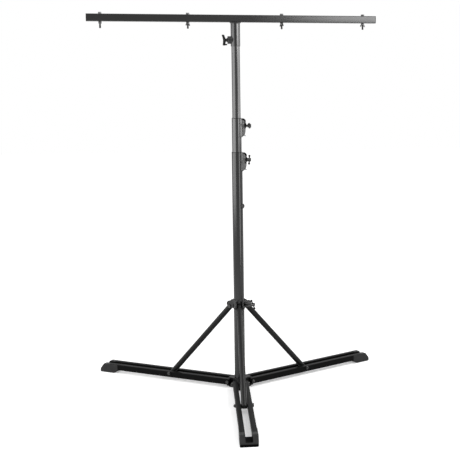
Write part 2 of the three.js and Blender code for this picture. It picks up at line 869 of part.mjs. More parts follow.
for (const [name, side] of Object.entries({ right: 1, left: -1 })) {
  const cap = piece(barGroup, "crossbar_end_cap_" + name, endCap(), blackPlastic);
  cap.position.set(side * (barHalf + seatGap), 0, crossbarMid);
  cap.rotation.z = side > 0 ? 0 : Math.PI;
}

// Socket: a sleeve with a flared weld at the bar and a boss for the wing screw
const socketBore = topTubeRadius + slideGap;
const socketOuter = socketBore + socketWall;
const socketTop = crossbarBottom - seatGap;
const socketBottom = socketTop - socketHeight;
const wingScrewRise = 26;
const wingScrewHeight = socketBottom + wingScrewRise;
const socketBossRadius = 16;
const socketBossReach = 33;
const weldFlare = 3.5;
const weldHeight = 6;

function socket() {
  const weld = new THREE.CylinderGeometry(socketOuter, socketOuter + weldFlare, weldHeight, mastSegments);
  weld.rotateX(-Math.PI / 2);
  weld.translate(0, 0, socketTop - weldHeight / 2);
  const bossEdge = 2;
  const boss = joined(
    rodAlongX(socketBossRadius, -socketBossReach + bossEdge, 0),
    rodAlongX(socketBossRadius - bossEdge, -socketBossReach, 0),
  );
  return cut(
    joined(
      rod(socketOuter, socketBottom, socketTop, mastSegments),
      solid(weld),
      moved(boss, 0, 0, wingScrewHeight),
    ),
    rod(socketBore, socketBottom - overrun, socketTop - socketTopWall, mastSegments),
    moved(rodAlongX(screwHoleRadius, -socketBossReach - overrun, 0, smallSegments), 0, 0, wingScrewHeight),
  );
}

piece(barGroup, "t_socket", socket(), blackPowder);

// Wing screw: a turned shank with a cast butterfly grip, along -X from the top tube's wall. The
// wings sweep away from the mast, the upper one further than the lower.
const wingSpanHalf = 22;
const wingThickness = 5;
const wingNeckRadius = 6.5;
const wingNeckLength = 9.5;
const wingSet = 10.7;
const wingSweep = 3.7;
const wingLean = 4.2;
const wingBlade = 9;
const wingRollDegrees = 14;

// Shares of the half span from tip to tip, each with its share of the blade's width.
const wingOuterEdge = [[1, 0.5], [0.9, 0.9], [0.6, 1], [0, 0.8], [-0.6, 1], [-0.9, 0.9], [-1, 0.5]];
const wingInnerEdge = [[-1, 0.5], [-0.9, 0.9], [-0.5, 1.05]];

function wingScrew() {
  const start = topTubeRadius + seatGap;
  const neck = socketBossReach + seatGap;
  const middle = (share) => neck + wingSet + wingSweep * Math.abs(share) + wingLean * share;
  const edge = (side) => ([share, width]) => [
    middle(share) + (side * width * wingBlade) / 2,
    share * wingSpanHalf,
  ];
  const lower = wingInnerEdge.map(edge(-1));
  const upper = wingInnerEdge.map(([share, width]) => edge(-1)([-share, width])).reverse();
  const root = neck + wingNeckLength * 0.2;
  const grip = outline([
    ...wingOuterEdge.map(edge(1)),
    ...lower,
    [root, -wingNeckRadius * 0.9],
    [root, wingNeckRadius * 0.9],
    ...upper,
  ]);
  const shank = rodAlongX(screwRadius, start, neck + wingNeckLength * 0.7, smallSegments);
  const hubRod = rodAlongX(wingNeckRadius, neck, neck + wingNeckLength, smallSegments);
  const wings = sidePrism(grip, -wingThickness / 2, wingThickness / 2);
  return joined(shank, hubRod, wings).rotate([0, 0, 180]);
}

const wing = piece(barGroup, "wing_screw", wingScrew(), blackPlastic);
wing.position.z = wingScrewHeight;
wing.rotation.x = THREE.MathUtils.degToRad(wingRollDegrees);

// Lamp bolts: through the bar from above, each with a wing nut underneath

const barBoltDrop = 27;
const barWasherRadius = 7.5;
const barWasherHeight = 1.2;
const wingNutCone = 9;
const wingNutFoot = 6.8;
const wingNutTop = 6.3;
const wingNutSpan = 17;
const wingNutLift = 16;
const wingNutPlate = 2.6;

function barBolt() {
  const washerBottom = crossbarTop + seatGap;
  const headBottom = washerBottom + barWasherHeight;
  return joined(
    rod(boltRadius, crossbarBottom - barBoltDrop, headBottom + boltHeadHeight / 2, smallSegments),
    rod(barWasherRadius, washerBottom, headBottom, smallSegments),
    hexagon(boltHeadAcross, headBottom - barWasherHeight / 2, headBottom + boltHeadHeight),
  );
}

// Cone with two wings that point away from the bar, modelled along -Z from its foot.
function wingNut() {
  const cone = new THREE.CylinderGeometry(wingNutFoot, wingNutTop, wingNutCone, smallSegments);
  cone.rotateX(Math.PI / 2);
  cone.translate(0, 0, -wingNutCone / 2);
  const blade = new THREE.Shape();
  blade.moveTo(0, -wingNutCone * 0.15);
  blade.lineTo(wingNutFoot * 0.9, -wingNutCone * 0.25);
  blade.quadraticCurveTo(wingNutSpan * 0.8, -wingNutCone * 0.5, wingNutSpan, -wingNutLift * 0.75);
  blade.quadraticCurveTo(wingNutSpan, -wingNutLift, wingNutSpan * 0.8, -wingNutLift);
  blade.quadraticCurveTo(wingNutSpan * 0.55, -wingNutLift, wingNutTop, -wingNutCone);
  blade.lineTo(0, -wingNutCone);
  blade.closePath();
  const curveSteps = 3;
  const oneBlade = sidePrism(blade, -wingNutPlate / 2, wingNutPlate / 2, curveSteps);
  return cut(
    joined(solid(cone), oneBlade, oneBlade.rotate([0, 0, 180])),
    rod(boltHoleRadius, -wingNutLift - overrun, overrun, smallSegments),
  );
}

// Each wing nut stops at its own turn.
const wingNutTurnsDegrees = [90, 57, 104, 41];

barBoltPlaces.forEach((place, i) => {
  const number = i + 1;
  piece(barGroup, "lamp_bolt_" + number, barBolt(), darkSteel).position.x = place;
  const nut = piece(barGroup, "wing_nut_" + number, wingNut(), darkSteel);
  nut.position.set(place, 0, crossbarBottom - seatGap);
  nut.rotation.z = THREE.MathUtils.degToRad(wingNutTurnsDegrees[i]);
});

export default stand;
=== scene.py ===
import math

import bmesh
import bpy
import numpy as np
from mathutils import Matrix, Vector


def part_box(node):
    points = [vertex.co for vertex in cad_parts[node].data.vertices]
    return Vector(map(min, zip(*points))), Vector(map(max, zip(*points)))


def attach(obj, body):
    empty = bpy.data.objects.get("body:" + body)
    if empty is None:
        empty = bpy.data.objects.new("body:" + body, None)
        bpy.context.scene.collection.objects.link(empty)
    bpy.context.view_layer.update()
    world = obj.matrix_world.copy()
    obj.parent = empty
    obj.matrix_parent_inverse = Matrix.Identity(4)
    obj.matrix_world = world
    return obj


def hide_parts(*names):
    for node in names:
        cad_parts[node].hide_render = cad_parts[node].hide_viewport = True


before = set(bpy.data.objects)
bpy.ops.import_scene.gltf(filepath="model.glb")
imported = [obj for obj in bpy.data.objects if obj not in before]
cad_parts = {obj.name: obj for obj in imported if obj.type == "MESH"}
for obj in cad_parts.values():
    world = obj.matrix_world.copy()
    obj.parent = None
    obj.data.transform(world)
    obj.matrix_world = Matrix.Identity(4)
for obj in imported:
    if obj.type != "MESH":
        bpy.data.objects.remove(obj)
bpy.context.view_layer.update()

# Camera. It stands in front of the stand at about chest height, four metres from the mast,
# slightly to the left, with the stand a little off the middle of the picture.

FRAME_SIDE = 460
SENSOR_WIDTH = 36.0
FOCAL_PIXELS = 969.85
CENTRE_OFFSET = (82.2, -47.25)
CAMERA_PLACE = (-0.17627, -4.05347, 1.30410)
CAMERA_YAW, CAMERA_PITCH, CAMERA_ROLL = 6.925, -5.992, -0.3225

lens = bpy.data.cameras.new("camera")
lens.sensor_width = SENSOR_WIDTH
lens.lens = FOCAL_PIXELS / FRAME_SIDE * SENSOR_WIDTH
lens.shift_x = -CENTRE_OFFSET[0] / FRAME_SIDE
lens.shift_y = CENTRE_OFFSET[1] / FRAME_SIDE
camera = bpy.data.objects.new("camera", lens)
camera.matrix_world = (
    Matrix.Translation(CAMERA_PLACE)
    @ Matrix.Rotation(math.radians(-CAMERA_YAW), 4, "Z")
    @ Matrix.Rotation(math.radians(90 + CAMERA_PITCH), 4, "X")
    @ Matrix.Rotation(math.radians(CAMERA_ROLL), 4, "Z")
)
bpy.context.scene.collection.objects.link(camera)
bpy.context.scene.camera = camera
bpy.context.scene.view_settings.view_transform = "Standard"

# Studio. A white floor that runs out of sight under a white surround, with three soft lights to
# the right of the stand, a broad one to the left and one overhead.


def shader_step(tree, kind, inputs=None, **settings):
    """Adds one shader node. An input is a fixed value, or the output socket that feeds it."""
    made = tree.nodes.new("ShaderNode" + kind)
    for key, value in settings.items():
        setattr(made, key, value)
    for key, value in (inputs or {}).items():
        if isinstance(value, bpy.types.NodeSocket):
            tree.links.new(value, made.inputs[key])
        else:
            made.inputs[key].default_value = value
    return made


def combined(tree, operation, a, b):
    """Two values joined by one step of arithmetic."""
    return shader_step(tree, "Math", {0: a, 1: b}, operation=operation).outputs[0]


def carried(tree, value, low, high, start=0.3, end=0.7):
    """The value carried over from the range start to end to the range low to high."""
    return shader_step(
        tree, "MapRange",
        {"Value": value, "From Min": start, "From Max": end, "To Min": low, "To Max": high},
    ).outputs[0]


def finish_tree(tree, output, rest, seen):
    """Ends the tree in a mix of two shaders: the second for rays from the camera and for mirrored
    or refracted rays, where the largest of the three flags is 1, and the first for the rest."""
    path = shader_step(tree, "LightPath").outputs
    direct = combined(tree, "MAXIMUM", path["Is Camera Ray"], path["Is Glossy Ray"])
    flag = combined(tree, "MAXIMUM", direct, path["Is Transmission Ray"])
    mixed = shader_step(tree, "MixShader", {0: flag, 1: rest.outputs[0], 2: seen.outputs[0]})
    shader_step(tree, output, {"Surface": mixed.outputs[0]})


WHITE = (1, 1, 1, 1)
SURROUND_LIGHT = 0.15
surround = bpy.data.worlds.new("studio")
bpy.context.scene.world = surround
surround.use_nodes = True
tree = surround.node_tree
tree.nodes.clear()
white = shader_step(tree, "Background", {"Color": WHITE, "Strength": 1.0})
dim = shader_step(tree, "Background", {"Color": WHITE, "Strength": SURROUND_LIGHT})
finish_tree(tree, "OutputWorld", dim, white)

FLOOR_REACH = 14.0
FLOOR_GLOW_NEAR, FLOOR_GLOW_FAR = 0.32, 1.0
GLOW_START, GLOW_END = 0.6, 2.0
floor_mesh = bpy.data.meshes.new("floor")
floor_mesh.from_pydata(
    [(x * FLOOR_REACH, y * FLOOR_REACH, 0) for x, y in ((-1, -1), (1, -1), (1, 1), (-1, 1))],
    [],
    [(0, 1, 2, 3)],
)
floor = bpy.data.objects.new("floor", floor_mesh)
bpy.context.scene.collection.objects.link(floor)
paper = bpy.data.materials.new("floor_paper")
paper.use_nodes = True
tree = paper.node_tree
tree.nodes.clear()
matt = shader_step(tree, "BsdfDiffuse", {"Color": (0.86, 0.86, 0.86, 1)})
centre = shader_step(tree, "TexCoord").outputs["Object"]
away = shader_step(tree, "VectorMath", {0: centre}, operation="LENGTH").outputs["Value"]
level = carried(tree, away, FLOOR_GLOW_NEAR, FLOOR_GLOW_FAR, GLOW_START, GLOW_END)
glow = shader_step(tree, "Emission", {"Color": WHITE, "Strength": level})
lit = shader_step(tree, "AddShader", {0: matt.outputs[0], 1: glow.outputs[0]})
plain = shader_step(tree, "BsdfDiffuse", {"Color": (0.6, 0.6, 0.6, 1)})
finish_tree(tree, "OutputMaterial", plain, lit)
floor_mesh.materials.append(paper)


def soft_light(name, place, aim, width, height, power):
    """A rectangular lamp of that size and power in watts, turned to face the aimed point."""
    lamp = bpy.data.lights.new(name, "AREA")
    lamp.shape = "RECTANGLE"
    lamp.size, lamp.size_y = width, height
    lamp.energy = power
    holder = bpy.data.objects.new(name, lamp)
    holder.location = place
    holder.rotation_euler = (Vector(aim) - Vector(place)).to_track_quat("-Z", "Y").to_euler()
    holder.visible_camera = False
    bpy.context.scene.collection.objects.link(holder)


soft_light("light_bar", (0.98, -0.93, 1.72), (0.05, 0, 1.6), 0.85, 0.45, 13)
soft_light("light_right", (1.06, -0.95, 0.72), (0, 0, 0.75), 0.5, 0.85, 6)
soft_light("light_upper_right", (1.42, -0.30, 1.45), (0, 0.1, 1.3), 1.9, 0.9, 26)
soft_light("light_left", (-1.75, -0.75, 1.15), (0, 0, 1.1), 2.8, 1.35, 58)
soft_light("light_overhead", (0, -0.6, 3.6), (0, 0, 0), 3.0, 3.0, 30)

# Mast. Three drawn steel tubes that slide in one another, each 1.5 mm thick with drilled holes
# for the clamp screws and the safety pins, under a satin black powder coat.

MAST_WALL = 0.0015
ROUND_STEPS = 96
RIM_ROUND = 0.0003
CLAMP_TURN = math.radians(-6)
CLAMP_DROP = 0.031


def grid_faces(rows, columns, ring_rows=False):
    """Quads over a grid whose columns close on themselves, and its rows too on request."""
    starts = np.arange(rows if ring_rows else rows - 1)
    i, j = np.meshgrid(starts, np.arange(columns), indexing="ij")
    up, across = (i + 1) % rows, (j + 1) % columns
    quads = [i * columns + j, i * columns + across, up * columns + across, up * columns + j]
    return np.stack(quads, -1).reshape(-1, 4)


def add_piece(name, points, faces, finish, body, node=None, crease=32):
    """Makes a closed mesh of the points and faces, smooth but for edges that turn by more than
    crease degrees. The finish is a material and its slot; the slot is not used. The piece
    replaces the node, or without one the node of its own name."""
    mesh = bpy.data.meshes.new(name)
    mesh.from_pydata(np.asarray(points).reshape(-1, 3).tolist(), [], [list(f) for f in faces])
    work = bmesh.new()
    work.from_mesh(mesh)
    bmesh.ops.recalc_face_normals(work, faces=work.faces)
    work.to_mesh(mesh)
    work.free()
    mesh.shade_smooth()
    mesh.set_sharp_from_angle(angle=math.radians(crease))
    material, slot = finish
    mesh.materials.append(material)
    piece = bpy.data.objects.new(name, mesh)
    bpy.context.scene.collection.objects.link(piece)
    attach(piece, body)
    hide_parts(node or name)
    return piece


def rows_with_detail(bottom, top, centres, reach, spacing):
    """Heights from bottom to top: the two ends with a small rounded rim, and near each centre a
    run of rows at the given spacing, from centre - reach to centre + reach."""
    rows = [[bottom, bottom + RIM_ROUND, top - RIM_ROUND, top]]
    rows += [c + np.arange(-reach, reach + 1) * spacing for c in centres]
    rows.append(np.linspace(bottom + RIM_ROUND, top - RIM_ROUND, 24)[1:-1])
    flat = np.unique(np.round(np.concatenate(rows), 6))
    keep = np.ones(len(flat), bool)
    for c in centres:
        near = np.abs(flat - c) < (reach + 0.6) * spacing
        on_run = np.abs((flat - c) / spacing - np.round((flat - c) / spacing)) < 0.02
        keep &= ~near | on_run
    return flat[keep]


def pierced_tube(name, outer, bottom, top, holes, finish, body):
    """Tube with drilled holes. The wall is one grid of angle by height, laid on the outside and
    again on the inside. Near a hole the grid's squares are bent outwards into rings round it, the
    squares in the middle are left out, and a strip joins the two skins round the edge.
    Each hole is (height, angle, radius)."""
    cell = 2 * math.pi / ROUND_STEPS
    angles = CLAMP_TURN + np.arange(ROUND_STEPS) * cell
    spacing = outer * cell
    reach = 8
    z = rows_with_detail(bottom, top, [h[0] for h in holes], reach, spacing)
    angle, height = np.meshgrid(angles, z)
    gone = np.zeros((len(z) - 1, ROUND_STEPS), bool)
    for centre, turn, radius in holes:
        half = max(1, round(0.85 * radius / spacing))
        a = (angle - turn + math.pi) % (2 * math.pi) - math.pi
        along, rise = a * outer, height - centre
        square = np.maximum(np.abs(along), np.abs(rise))
        far = np.maximum(np.hypot(along, rise), 1e-9)
        inner_edge, outer_edge = half * spacing, (reach - 1) * spacing
        pull = np.clip((outer_edge - square) / (outer_edge - inner_edge), 0, 1)
        pull = np.where(square < inner_edge - 1e-6, 0, pull)
        growth = 1 + pull * (square / inner_edge * radius / far - 1)
        angle = angle + np.where(pull > 0, along * (growth - 1) / outer, 0)
        height = height + np.where(pull > 0, rise * (growth - 1), 0)
        mid_z = (z[:-1] + z[1:]) / 2 - centre
        mid_a = ((angles + cell / 2 - turn + math.pi) % (2 * math.pi) - math.pi) * outer
        gone |= (np.abs(mid_z)[:, None] < inner_edge) & (np.abs(mid_a)[None, :] < inner_edge)
    rim = np.minimum(height - bottom, top - height)
    ease = RIM_ROUND - np.clip(rim, 0, RIM_ROUND)
    points = np.concatenate([
        np.stack([r * np.cos(angle), r * np.sin(angle), height], -1).reshape(-1, 3)
        for r in (outer - ease, outer - MAST_WALL + ease)
    ])
    count = len(z) * ROUND_STEPS
    quads = grid_faces(len(z), ROUND_STEPS)[~gone.reshape(-1)]
    edges = np.concatenate([np.roll(quads, -k, 1)[:, :2] for k in range(4)])
    both = {tuple(e) for e in edges.tolist()}
    open_edges = np.array([e for e in edges.tolist() if (e[1], e[0]) not in both])
    strip = np.column_stack([open_edges[:, ::-1], open_edges + count])
    faces = np.concatenate([quads, quads[:, ::-1] + count, strip])
    add_piece(name, points, faces, finish, body)


def noise(tree, place, scale, detail, roughness=0.5):
    """Fractal noise with about that many waves to a metre."""
    return shader_step(
        tree, "TexNoise",
        {"Vector": place, "Scale": scale, "Detail": detail, "Roughness": roughness},
    ).outputs["Fac"]


def paint_shade(tree, surface, tone, shine):
    """Painted shade: takes nine tenths off a tone and off the shine where the mesh's own
    attribute, recess, is 1, standing in for shade in deep hollows and on the clamps' top corners.
    Returns the darkened tone."""
    inside = shader_step(tree, "Attribute", attribute_name="recess").outputs["Fac"]
    kept = carried(tree, inside, 1.0, 0.1, 0.0, 1.0)
    duller = combined(tree, "MULTIPLY", kept, shine)
    tree.links.new(duller, surface.inputs["Specular IOR Level"])
    return combined(tree, "MULTIPLY", tone, kept)


def grained(name, slot, shine, grain, drift, tones, glosses, strength, depth, metal=0.0,
            added=None, uneven=False, with_painted_shade=False):
    """A grey material. Its tone and its roughness each follow the drift noise between two values,
    and its bump, of that strength and depth, follows the grain noise, or the sum of both where it
    is uneven. A noise is (waves to a metre, detail). added(tree, place) is a tone on top."""
    material = bpy.data.materials.new(name)
    material.use_nodes = True
    tree = material.node_tree
    surface = tree.nodes["Principled BSDF"]
    surface.inputs["Specular IOR Level"].default_value = shine
    surface.inputs["Metallic"].default_value = metal
    place = shader_step(tree, "TexCoord").outputs["Object"]
    fine, slow = noise(tree, place, *grain), noise(tree, place, *drift)
    tone = carried(tree, slow, *tones)
    if added is not None:
        tone = combined(tree, "ADD", tone, added(tree, place))
    # With painted shade on, tone and shine are darkened where the mesh's recess attribute is 1.
    if with_painted_shade:
        tone = paint_shade(tree, surface, tone, shine)
    height = combined(tree, "ADD", fine, slow) if uneven else fine
    colour = shader_step(tree, "CombineColor", {k: tone for k in ("Red", "Green", "Blue")})
    bump = shader_step(tree, "Bump", {"Height": height, "Strength": strength, "Distance": depth})
    tree.links.new(colour.outputs[0], surface.inputs["Base Color"])
    tree.links.new(carried(tree, slow, *glosses), surface.inputs["Roughness"])
    tree.links.new(bump.outputs[0], surface.inputs["Normal"])
    return material, slot


def powder_coat(name, tone, shine, streaks, roughness):
    """Satin black powder coat: a fine pebbled skin, a slow drift in tone and gloss, and fine
    upright streaks where the tube slides in its liner."""

    def worn(tree, place):
        """Noise stretched along the tube, from nothing up to the streaks' tone."""
        tall = shader_step(tree, "Mapping", {"Vector": place, "Scale": (420.0, 420.0, 3.0)})
        return carried(tree, noise(tree, tall.outputs[0], 1.0, 3.0, 0.65), 0.0, streaks, 0.62, 0.8)

    return grained(
        name, "black_powder_coat", shine, (650.0, 2.0), (5.0, 3.0), (tone * 0.85, tone * 1.15),
        (roughness - 0.03, roughness + 0.03), 0.12, 0.0002, added=worn,
    )


mast_coat = powder_coat("powder_coat_mast", 0.003, 0.42, 0.0, 0.18)
sliding_coat = powder_coat("powder_coat_run_in", 0.0025, 0.60, 0.02, 0.18)

lower_low, lower_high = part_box("lower_tube")
mid_low, mid_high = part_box("mid_tube")
top_low, top_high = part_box("top_tube")
LOWER_RADIUS, MID_RADIUS, TOP_RADIUS = lower_high.x, mid_high.x, top_high.x
SCREW_HOLE, PIN_HOLE = 0.0054, 0.003
MID_PIN_HEIGHT, TOP_PIN_HEIGHTS = 1.052, (1.235, 1.355)
FAR_SIDE = CLAMP_TURN + math.pi

pierced_tube(
    "lower_tube", LOWER_RADIUS, lower_low.z, lower_high.z,
    [(lower_high.z - CLAMP_DROP, CLAMP_TURN, SCREW_HOLE)], mast_coat, "base",
)
pierced_tube(
    "mid_tube", MID_RADIUS, mid_low.z, mid_high.z,
    [(mid_high.z - CLAMP_DROP, CLAMP_TURN, SCREW_HOLE),
     (MID_PIN_HEIGHT, CLAMP_TURN, PIN_HOLE), (MID_PIN_HEIGHT, FAR_SIDE, PIN_HOLE)],
    sliding_coat, "mid_section",
)
pierced_tube(
    "top_tube", TOP_RADIUS, top_low.z, top_high.z,
    [(h, a, PIN_HOLE) for h in TOP_PIN_HEIGHTS for a in (CLAMP_TURN, FAR_SIDE)],
    sliding_coat, "top_section",
)

# Liners and guide plugs. Moulded plastic pieces: a flanged liner in the mouth of the lower and of
# the mid tube, and a nylon plug pressed into the foot of the mid and of the top tube.


def closed_ends(points, faces, steps, first, last):
    """Closes a stack of rings: a point at each end, and a fan of triangles round it."""
    count, top = len(points), len(points) - steps
    j = np.arange(steps)
    k = (j + 1) % steps
    fans = [[k, j, count + 0 * j], [top + j, top + k, count + 1 + 0 * j]]
    faces = faces.tolist() + [f for fan in fans for f in np.stack(fan, -1).tolist()]
    return np.concatenate([points, [first, last]]), faces


def turned(name, profile, finish, body, node=None, axis="Z", steps=ROUND_STEPS, crease=32,
           wave=None, place=None):
    """A turned piece: each (radius, distance) of the profile goes round the axis as a ring. A
    profile that starts and ends on the axis closes in two points, and any other joins its ends.
    wave(distance, angle, radius) is added to the radius, and place moves the finished points."""
    profile = np.array(profile, float)
    solid_ends = profile[0, 0] < 1e-9
    rings = profile[1:-1] if solid_ends else profile
    angle = np.arange(steps) * 2 * math.pi / steps
    radius, along = rings[:, :1] + 0 * angle, rings[:, 1:] + 0 * angle
    if wave is not None:
        radius = radius + wave(along, angle[None, :] + 0 * along, radius)
    points = np.stack([radius * np.cos(angle), radius * np.sin(angle), along], -1).reshape(-1, 3)
    faces = grid_faces(len(rings), steps, ring_rows=not solid_ends)
    if solid_ends:
        tips = [(0, 0, profile[end, 1]) for end in (0, -1)]
        points, faces = closed_ends(points, faces, steps, *tips)
    points = points[:, {"X": [2, 0, 1], "Y": [1, 2, 0], "Z": [0, 1, 2]}[axis]]
    if place is not None:
        points = place(points)
    add_piece(name, points, faces, finish, body, node, crease)


def stepped_profile(heights, radii, rounding, inside=0.0, steps=4):
    """Profile of a stack of cylinders, each radius from one height to the next, with a bore where
    inside isn't 0. Each bend is an arc, drawn as the curve (1-t)^2 a + 2t(1-t) corner + t^2 b,
    between points a and b that lie the rounding away from the corner."""
    corners = [(inside, heights[0])]
    for low, high, radius in zip(heights, heights[1:], radii):
        corners += [(radius, low), (radius, high)]
    corners = np.array(corners + [(inside, heights[-1])], float)
    out = []
    t = np.linspace(0, 1, steps + 1)[:, None]
    for i, here in enumerate(corners):
        if inside == 0 and i in (0, len(corners) - 1):
            out.append(corners[i:i + 1])
            continue
        back, ahead = corners[i - 1] - here, corners[(i + 1) % len(corners)] - here
        reach = min(rounding, np.linalg.norm(back) / 2.2, np.linalg.norm(ahead) / 2.2)
        a = here + back / np.linalg.norm(back) * reach
        b = here + ahead / np.linalg.norm(ahead) * reach
        out.append((1 - t) ** 2 * a + 2 * t * (1 - t) * here + t ** 2 * b)
    return np.concatenate(out)


def moulded_plastic(name, slot, tone, strength, with_painted_shade=False):
    """Moulded plastic: a fine spark-eroded grain, a soft sheen and a slow drift in gloss."""
    return grained(
        name, slot, 0.12, (1400.0, 3.0), (25.0, 2.0), (tone * 0.8, tone * 1.2), (0.37, 0.47),
        strength, 0.0001, with_painted_shade=with_painted_shade,
    )


nylon = moulded_plastic("nylon", "nylon", 0.020, 0.3)
plastic = moulded_plastic("black_plastic", "black_plastic", 0.005, 0.5)

SEAT_GAP = 0.0003
FLANGE_TOP, FLANGE_BOTTOM = 0.0015, SEAT_GAP
LINER_DEPTH, LINER_GAP, LINER_WALL = 0.058, 0.00022, 0.00055
for liner, rim, outside, inside, body in (
    ("lower_clamp_liner", lower_high.z, LOWER_RADIUS, MID_RADIUS, "base"),
    ("upper_clamp_liner", mid_high.z, MID_RADIUS, TOP_RADIUS, "mid_section"),
):
    bore = inside + LINER_GAP
    heights = (rim - LINER_DEPTH, rim + FLANGE_BOTTOM, rim + FLANGE_TOP)
    profile = stepped_profile(heights, (bore + LINER_WALL, outside), 0.0004, bore, 3)
    turned(liner, profile, plastic, body)
for plug, body, tube_radius in (
    ("mid_tube_guide_plug", "mid_section", MID_RADIUS),
    ("top_tube_guide_plug", "top_section", TOP_RADIUS),
):
    low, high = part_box(plug)
    stem = tube_radius - MAST_WALL - 0.0004
    profile = stepped_profile((low.z, low.z + 0.003, high.z), (high.x, stem), 0.0006)
    turned(plug, profile, nylon, body)

# Clamp bodies. Two black castings on the right-hand side of the mast. Each has a nose that tapers
# to a round front, with a raised rib, a shallow groove and a top corner painted darker as shade,
# on a thin saddle that hugs the tube below its rim, and a boss for the screw.


def soft_most(k, *fields):
    """The largest of several distances, with the crease between two of them rounded: where they
    are within k of each other, (k - |a - b|)^2 / 4k is added."""
    out = fields[0]
    for field in fields[1:]:
        near = np.maximum(k - np.abs(out - field), 0)
        out = np.maximum(out, field) + near * near / (4 * k)
    return out


def soft_least(k, *fields):
    """The smallest of several distances, with a fillet where two are within k of each other."""
    return -soft_most(k, *[-field for field in fields])


def cast_skin(distance, low, high, step):
    """Points and quads where distance(x, y, z) is zero, sampled on a cubic grid. Each cube of the
    grid that the surface passes through gets one point, the mean of where the surface crosses the
    cube's edges, and each crossed edge gets a quad through the four cubes round it."""
    axes = [np.arange(a, b + step, step) for a, b in zip(low, high)]
    field = distance(*np.meshgrid(*axes, indexing="ij"))
    cubes = np.array(field.shape) - 1
    total = np.zeros((cubes.prod(), 3))
    hits = np.zeros(cubes.prod())
    loops = []
    for axis in range(3):
        u, v = (axis + 1) % 3, (axis + 2) % 3
        ahead = np.moveaxis(field, axis, 0)
        start, end = np.moveaxis(ahead[:-1], 0, axis), np.moveaxis(ahead[1:], 0, axis)
        edges = np.argwhere((start < 0) != (end < 0))
        f0, f1 = start[tuple(edges.T)], end[tuple(edges.T)]
        place = edges.astype(float)
        place[:, axis] += f0 / (f0 - f1)
        ring = []
        for du, dv in ((1, 1), (0, 1), (0, 0), (1, 0)):
            cube = edges.copy()
            cube[:, u] -= du
            cube[:, v] -= dv
            flat = np.ravel_multi_index(tuple(cube.T), cubes)
            total += np.stack(
                [np.bincount(flat, place[:, c], len(hits)) for c in range(3)], -1
            )
            hits += np.bincount(flat, minlength=len(hits))
            ring.append(flat)
        quad = np.stack(ring, -1)
        loops.append(np.where((f0 < 0)[:, None], quad, quad[:, ::-1]))
    used = hits > 0
    number = np.cumsum(used) - 1
    points = total[used] / hits[used, None] * step + np.array(low)
    return points, number[np.concatenate(loops)]


def moved(turn, x=0.0, y=0.0, z=0.0, roll=0.0):
    """Places a piece: rolled about the X axis, moved by x, y and z, and turned about the mast.
    Both turns are a cos - b sin, a sin + b cos."""

    def place(points):
        across, beside, up = np.moveaxis(np.asarray(points, float), -1, 0)
        c, s = math.cos(roll), math.sin(roll)
        beside, up = beside * c - up * s + y, beside * s + up * c + z
        across = across + x
        c, s = math.cos(turn), math.sin(turn)
        return np.stack([across * c - beside * s, across * s + beside * c, up], -1)

    return place


def slab(value, low, high):
    """Distance outside the range low to high along one direction."""
    return np.maximum(low - value, value - high)


def rounded_corner(across, up, radius):
    """Distance to a corner of that radius whose two sides lie where across and up are zero."""
    return np.hypot(np.maximum(across + radius, 0), np.maximum(up + radius, 0)) - radius


def sheet_line(x, z, a, b):
    """Distance to the right of the line from a to b in the x, z plane."""
    along = np.array(b, float) - np.array(a, float)
    along /= np.linalg.norm(along)
    return (x - a[0]) * along[1] - (z - a[1]) * along[0]


def cast_paint(name, tone, shine, roughness, with_painted_shade=False):
    """Black painted casting: a slightly pebbled skin, sand-cast unevenness below it, and edges
    rubbed a little paler."""

    def rubbed(tree, place):
        """The more pointed the surface, the paler, up to 1.6 tones."""
        edge = shader_step(tree, "NewGeometry").outputs["Pointiness"]
        return carried(tree, edge, 0.0, tone * 1.6, 0.53, 0.62)

    return grained(
        name, "black_casting", shine, (520.0, 3.0), (70.0, 2.0), (tone * 0.8, tone * 1.2),
        (roughness - 0.05, roughness + 0.05), 0.5, 0.0003, added=rubbed, uneven=True,
        with_painted_shade=with_painted_shade,
    )


def mark_painted_shade(piece, inside):
    """Stores one value for each point, 1 where shade is painted and 0 elsewhere, as the attribute
    recess.
    """
    layer = piece.data.attributes.new("recess", "FLOAT", "POINT")
    layer.data.foreach_set("value", inside.astype(np.float32))


# The clamps' paint has painted shade: it darkens where the recess attribute marks the top corners.
casting = cast_paint("cast_paint", 0.012, 0.75, 0.26, with_painted_shade=True)

NOSE_REACH, NOSE_HALF, NOSE_CORNER = 0.0195, 0.011, 0.015
CLAMP_HEIGHT, CLAMP_BOSS, SADDLE_WALL, BORE_GAP = 0.081, 0.0085, 0.0026, 0.0004
# Depth in from the nose's top corner, and drop below the rim, of the band that gets painted shade.
SHADE_BAND_DEPTH, SHADE_BAND_HEIGHT = 0.0072, 0.036


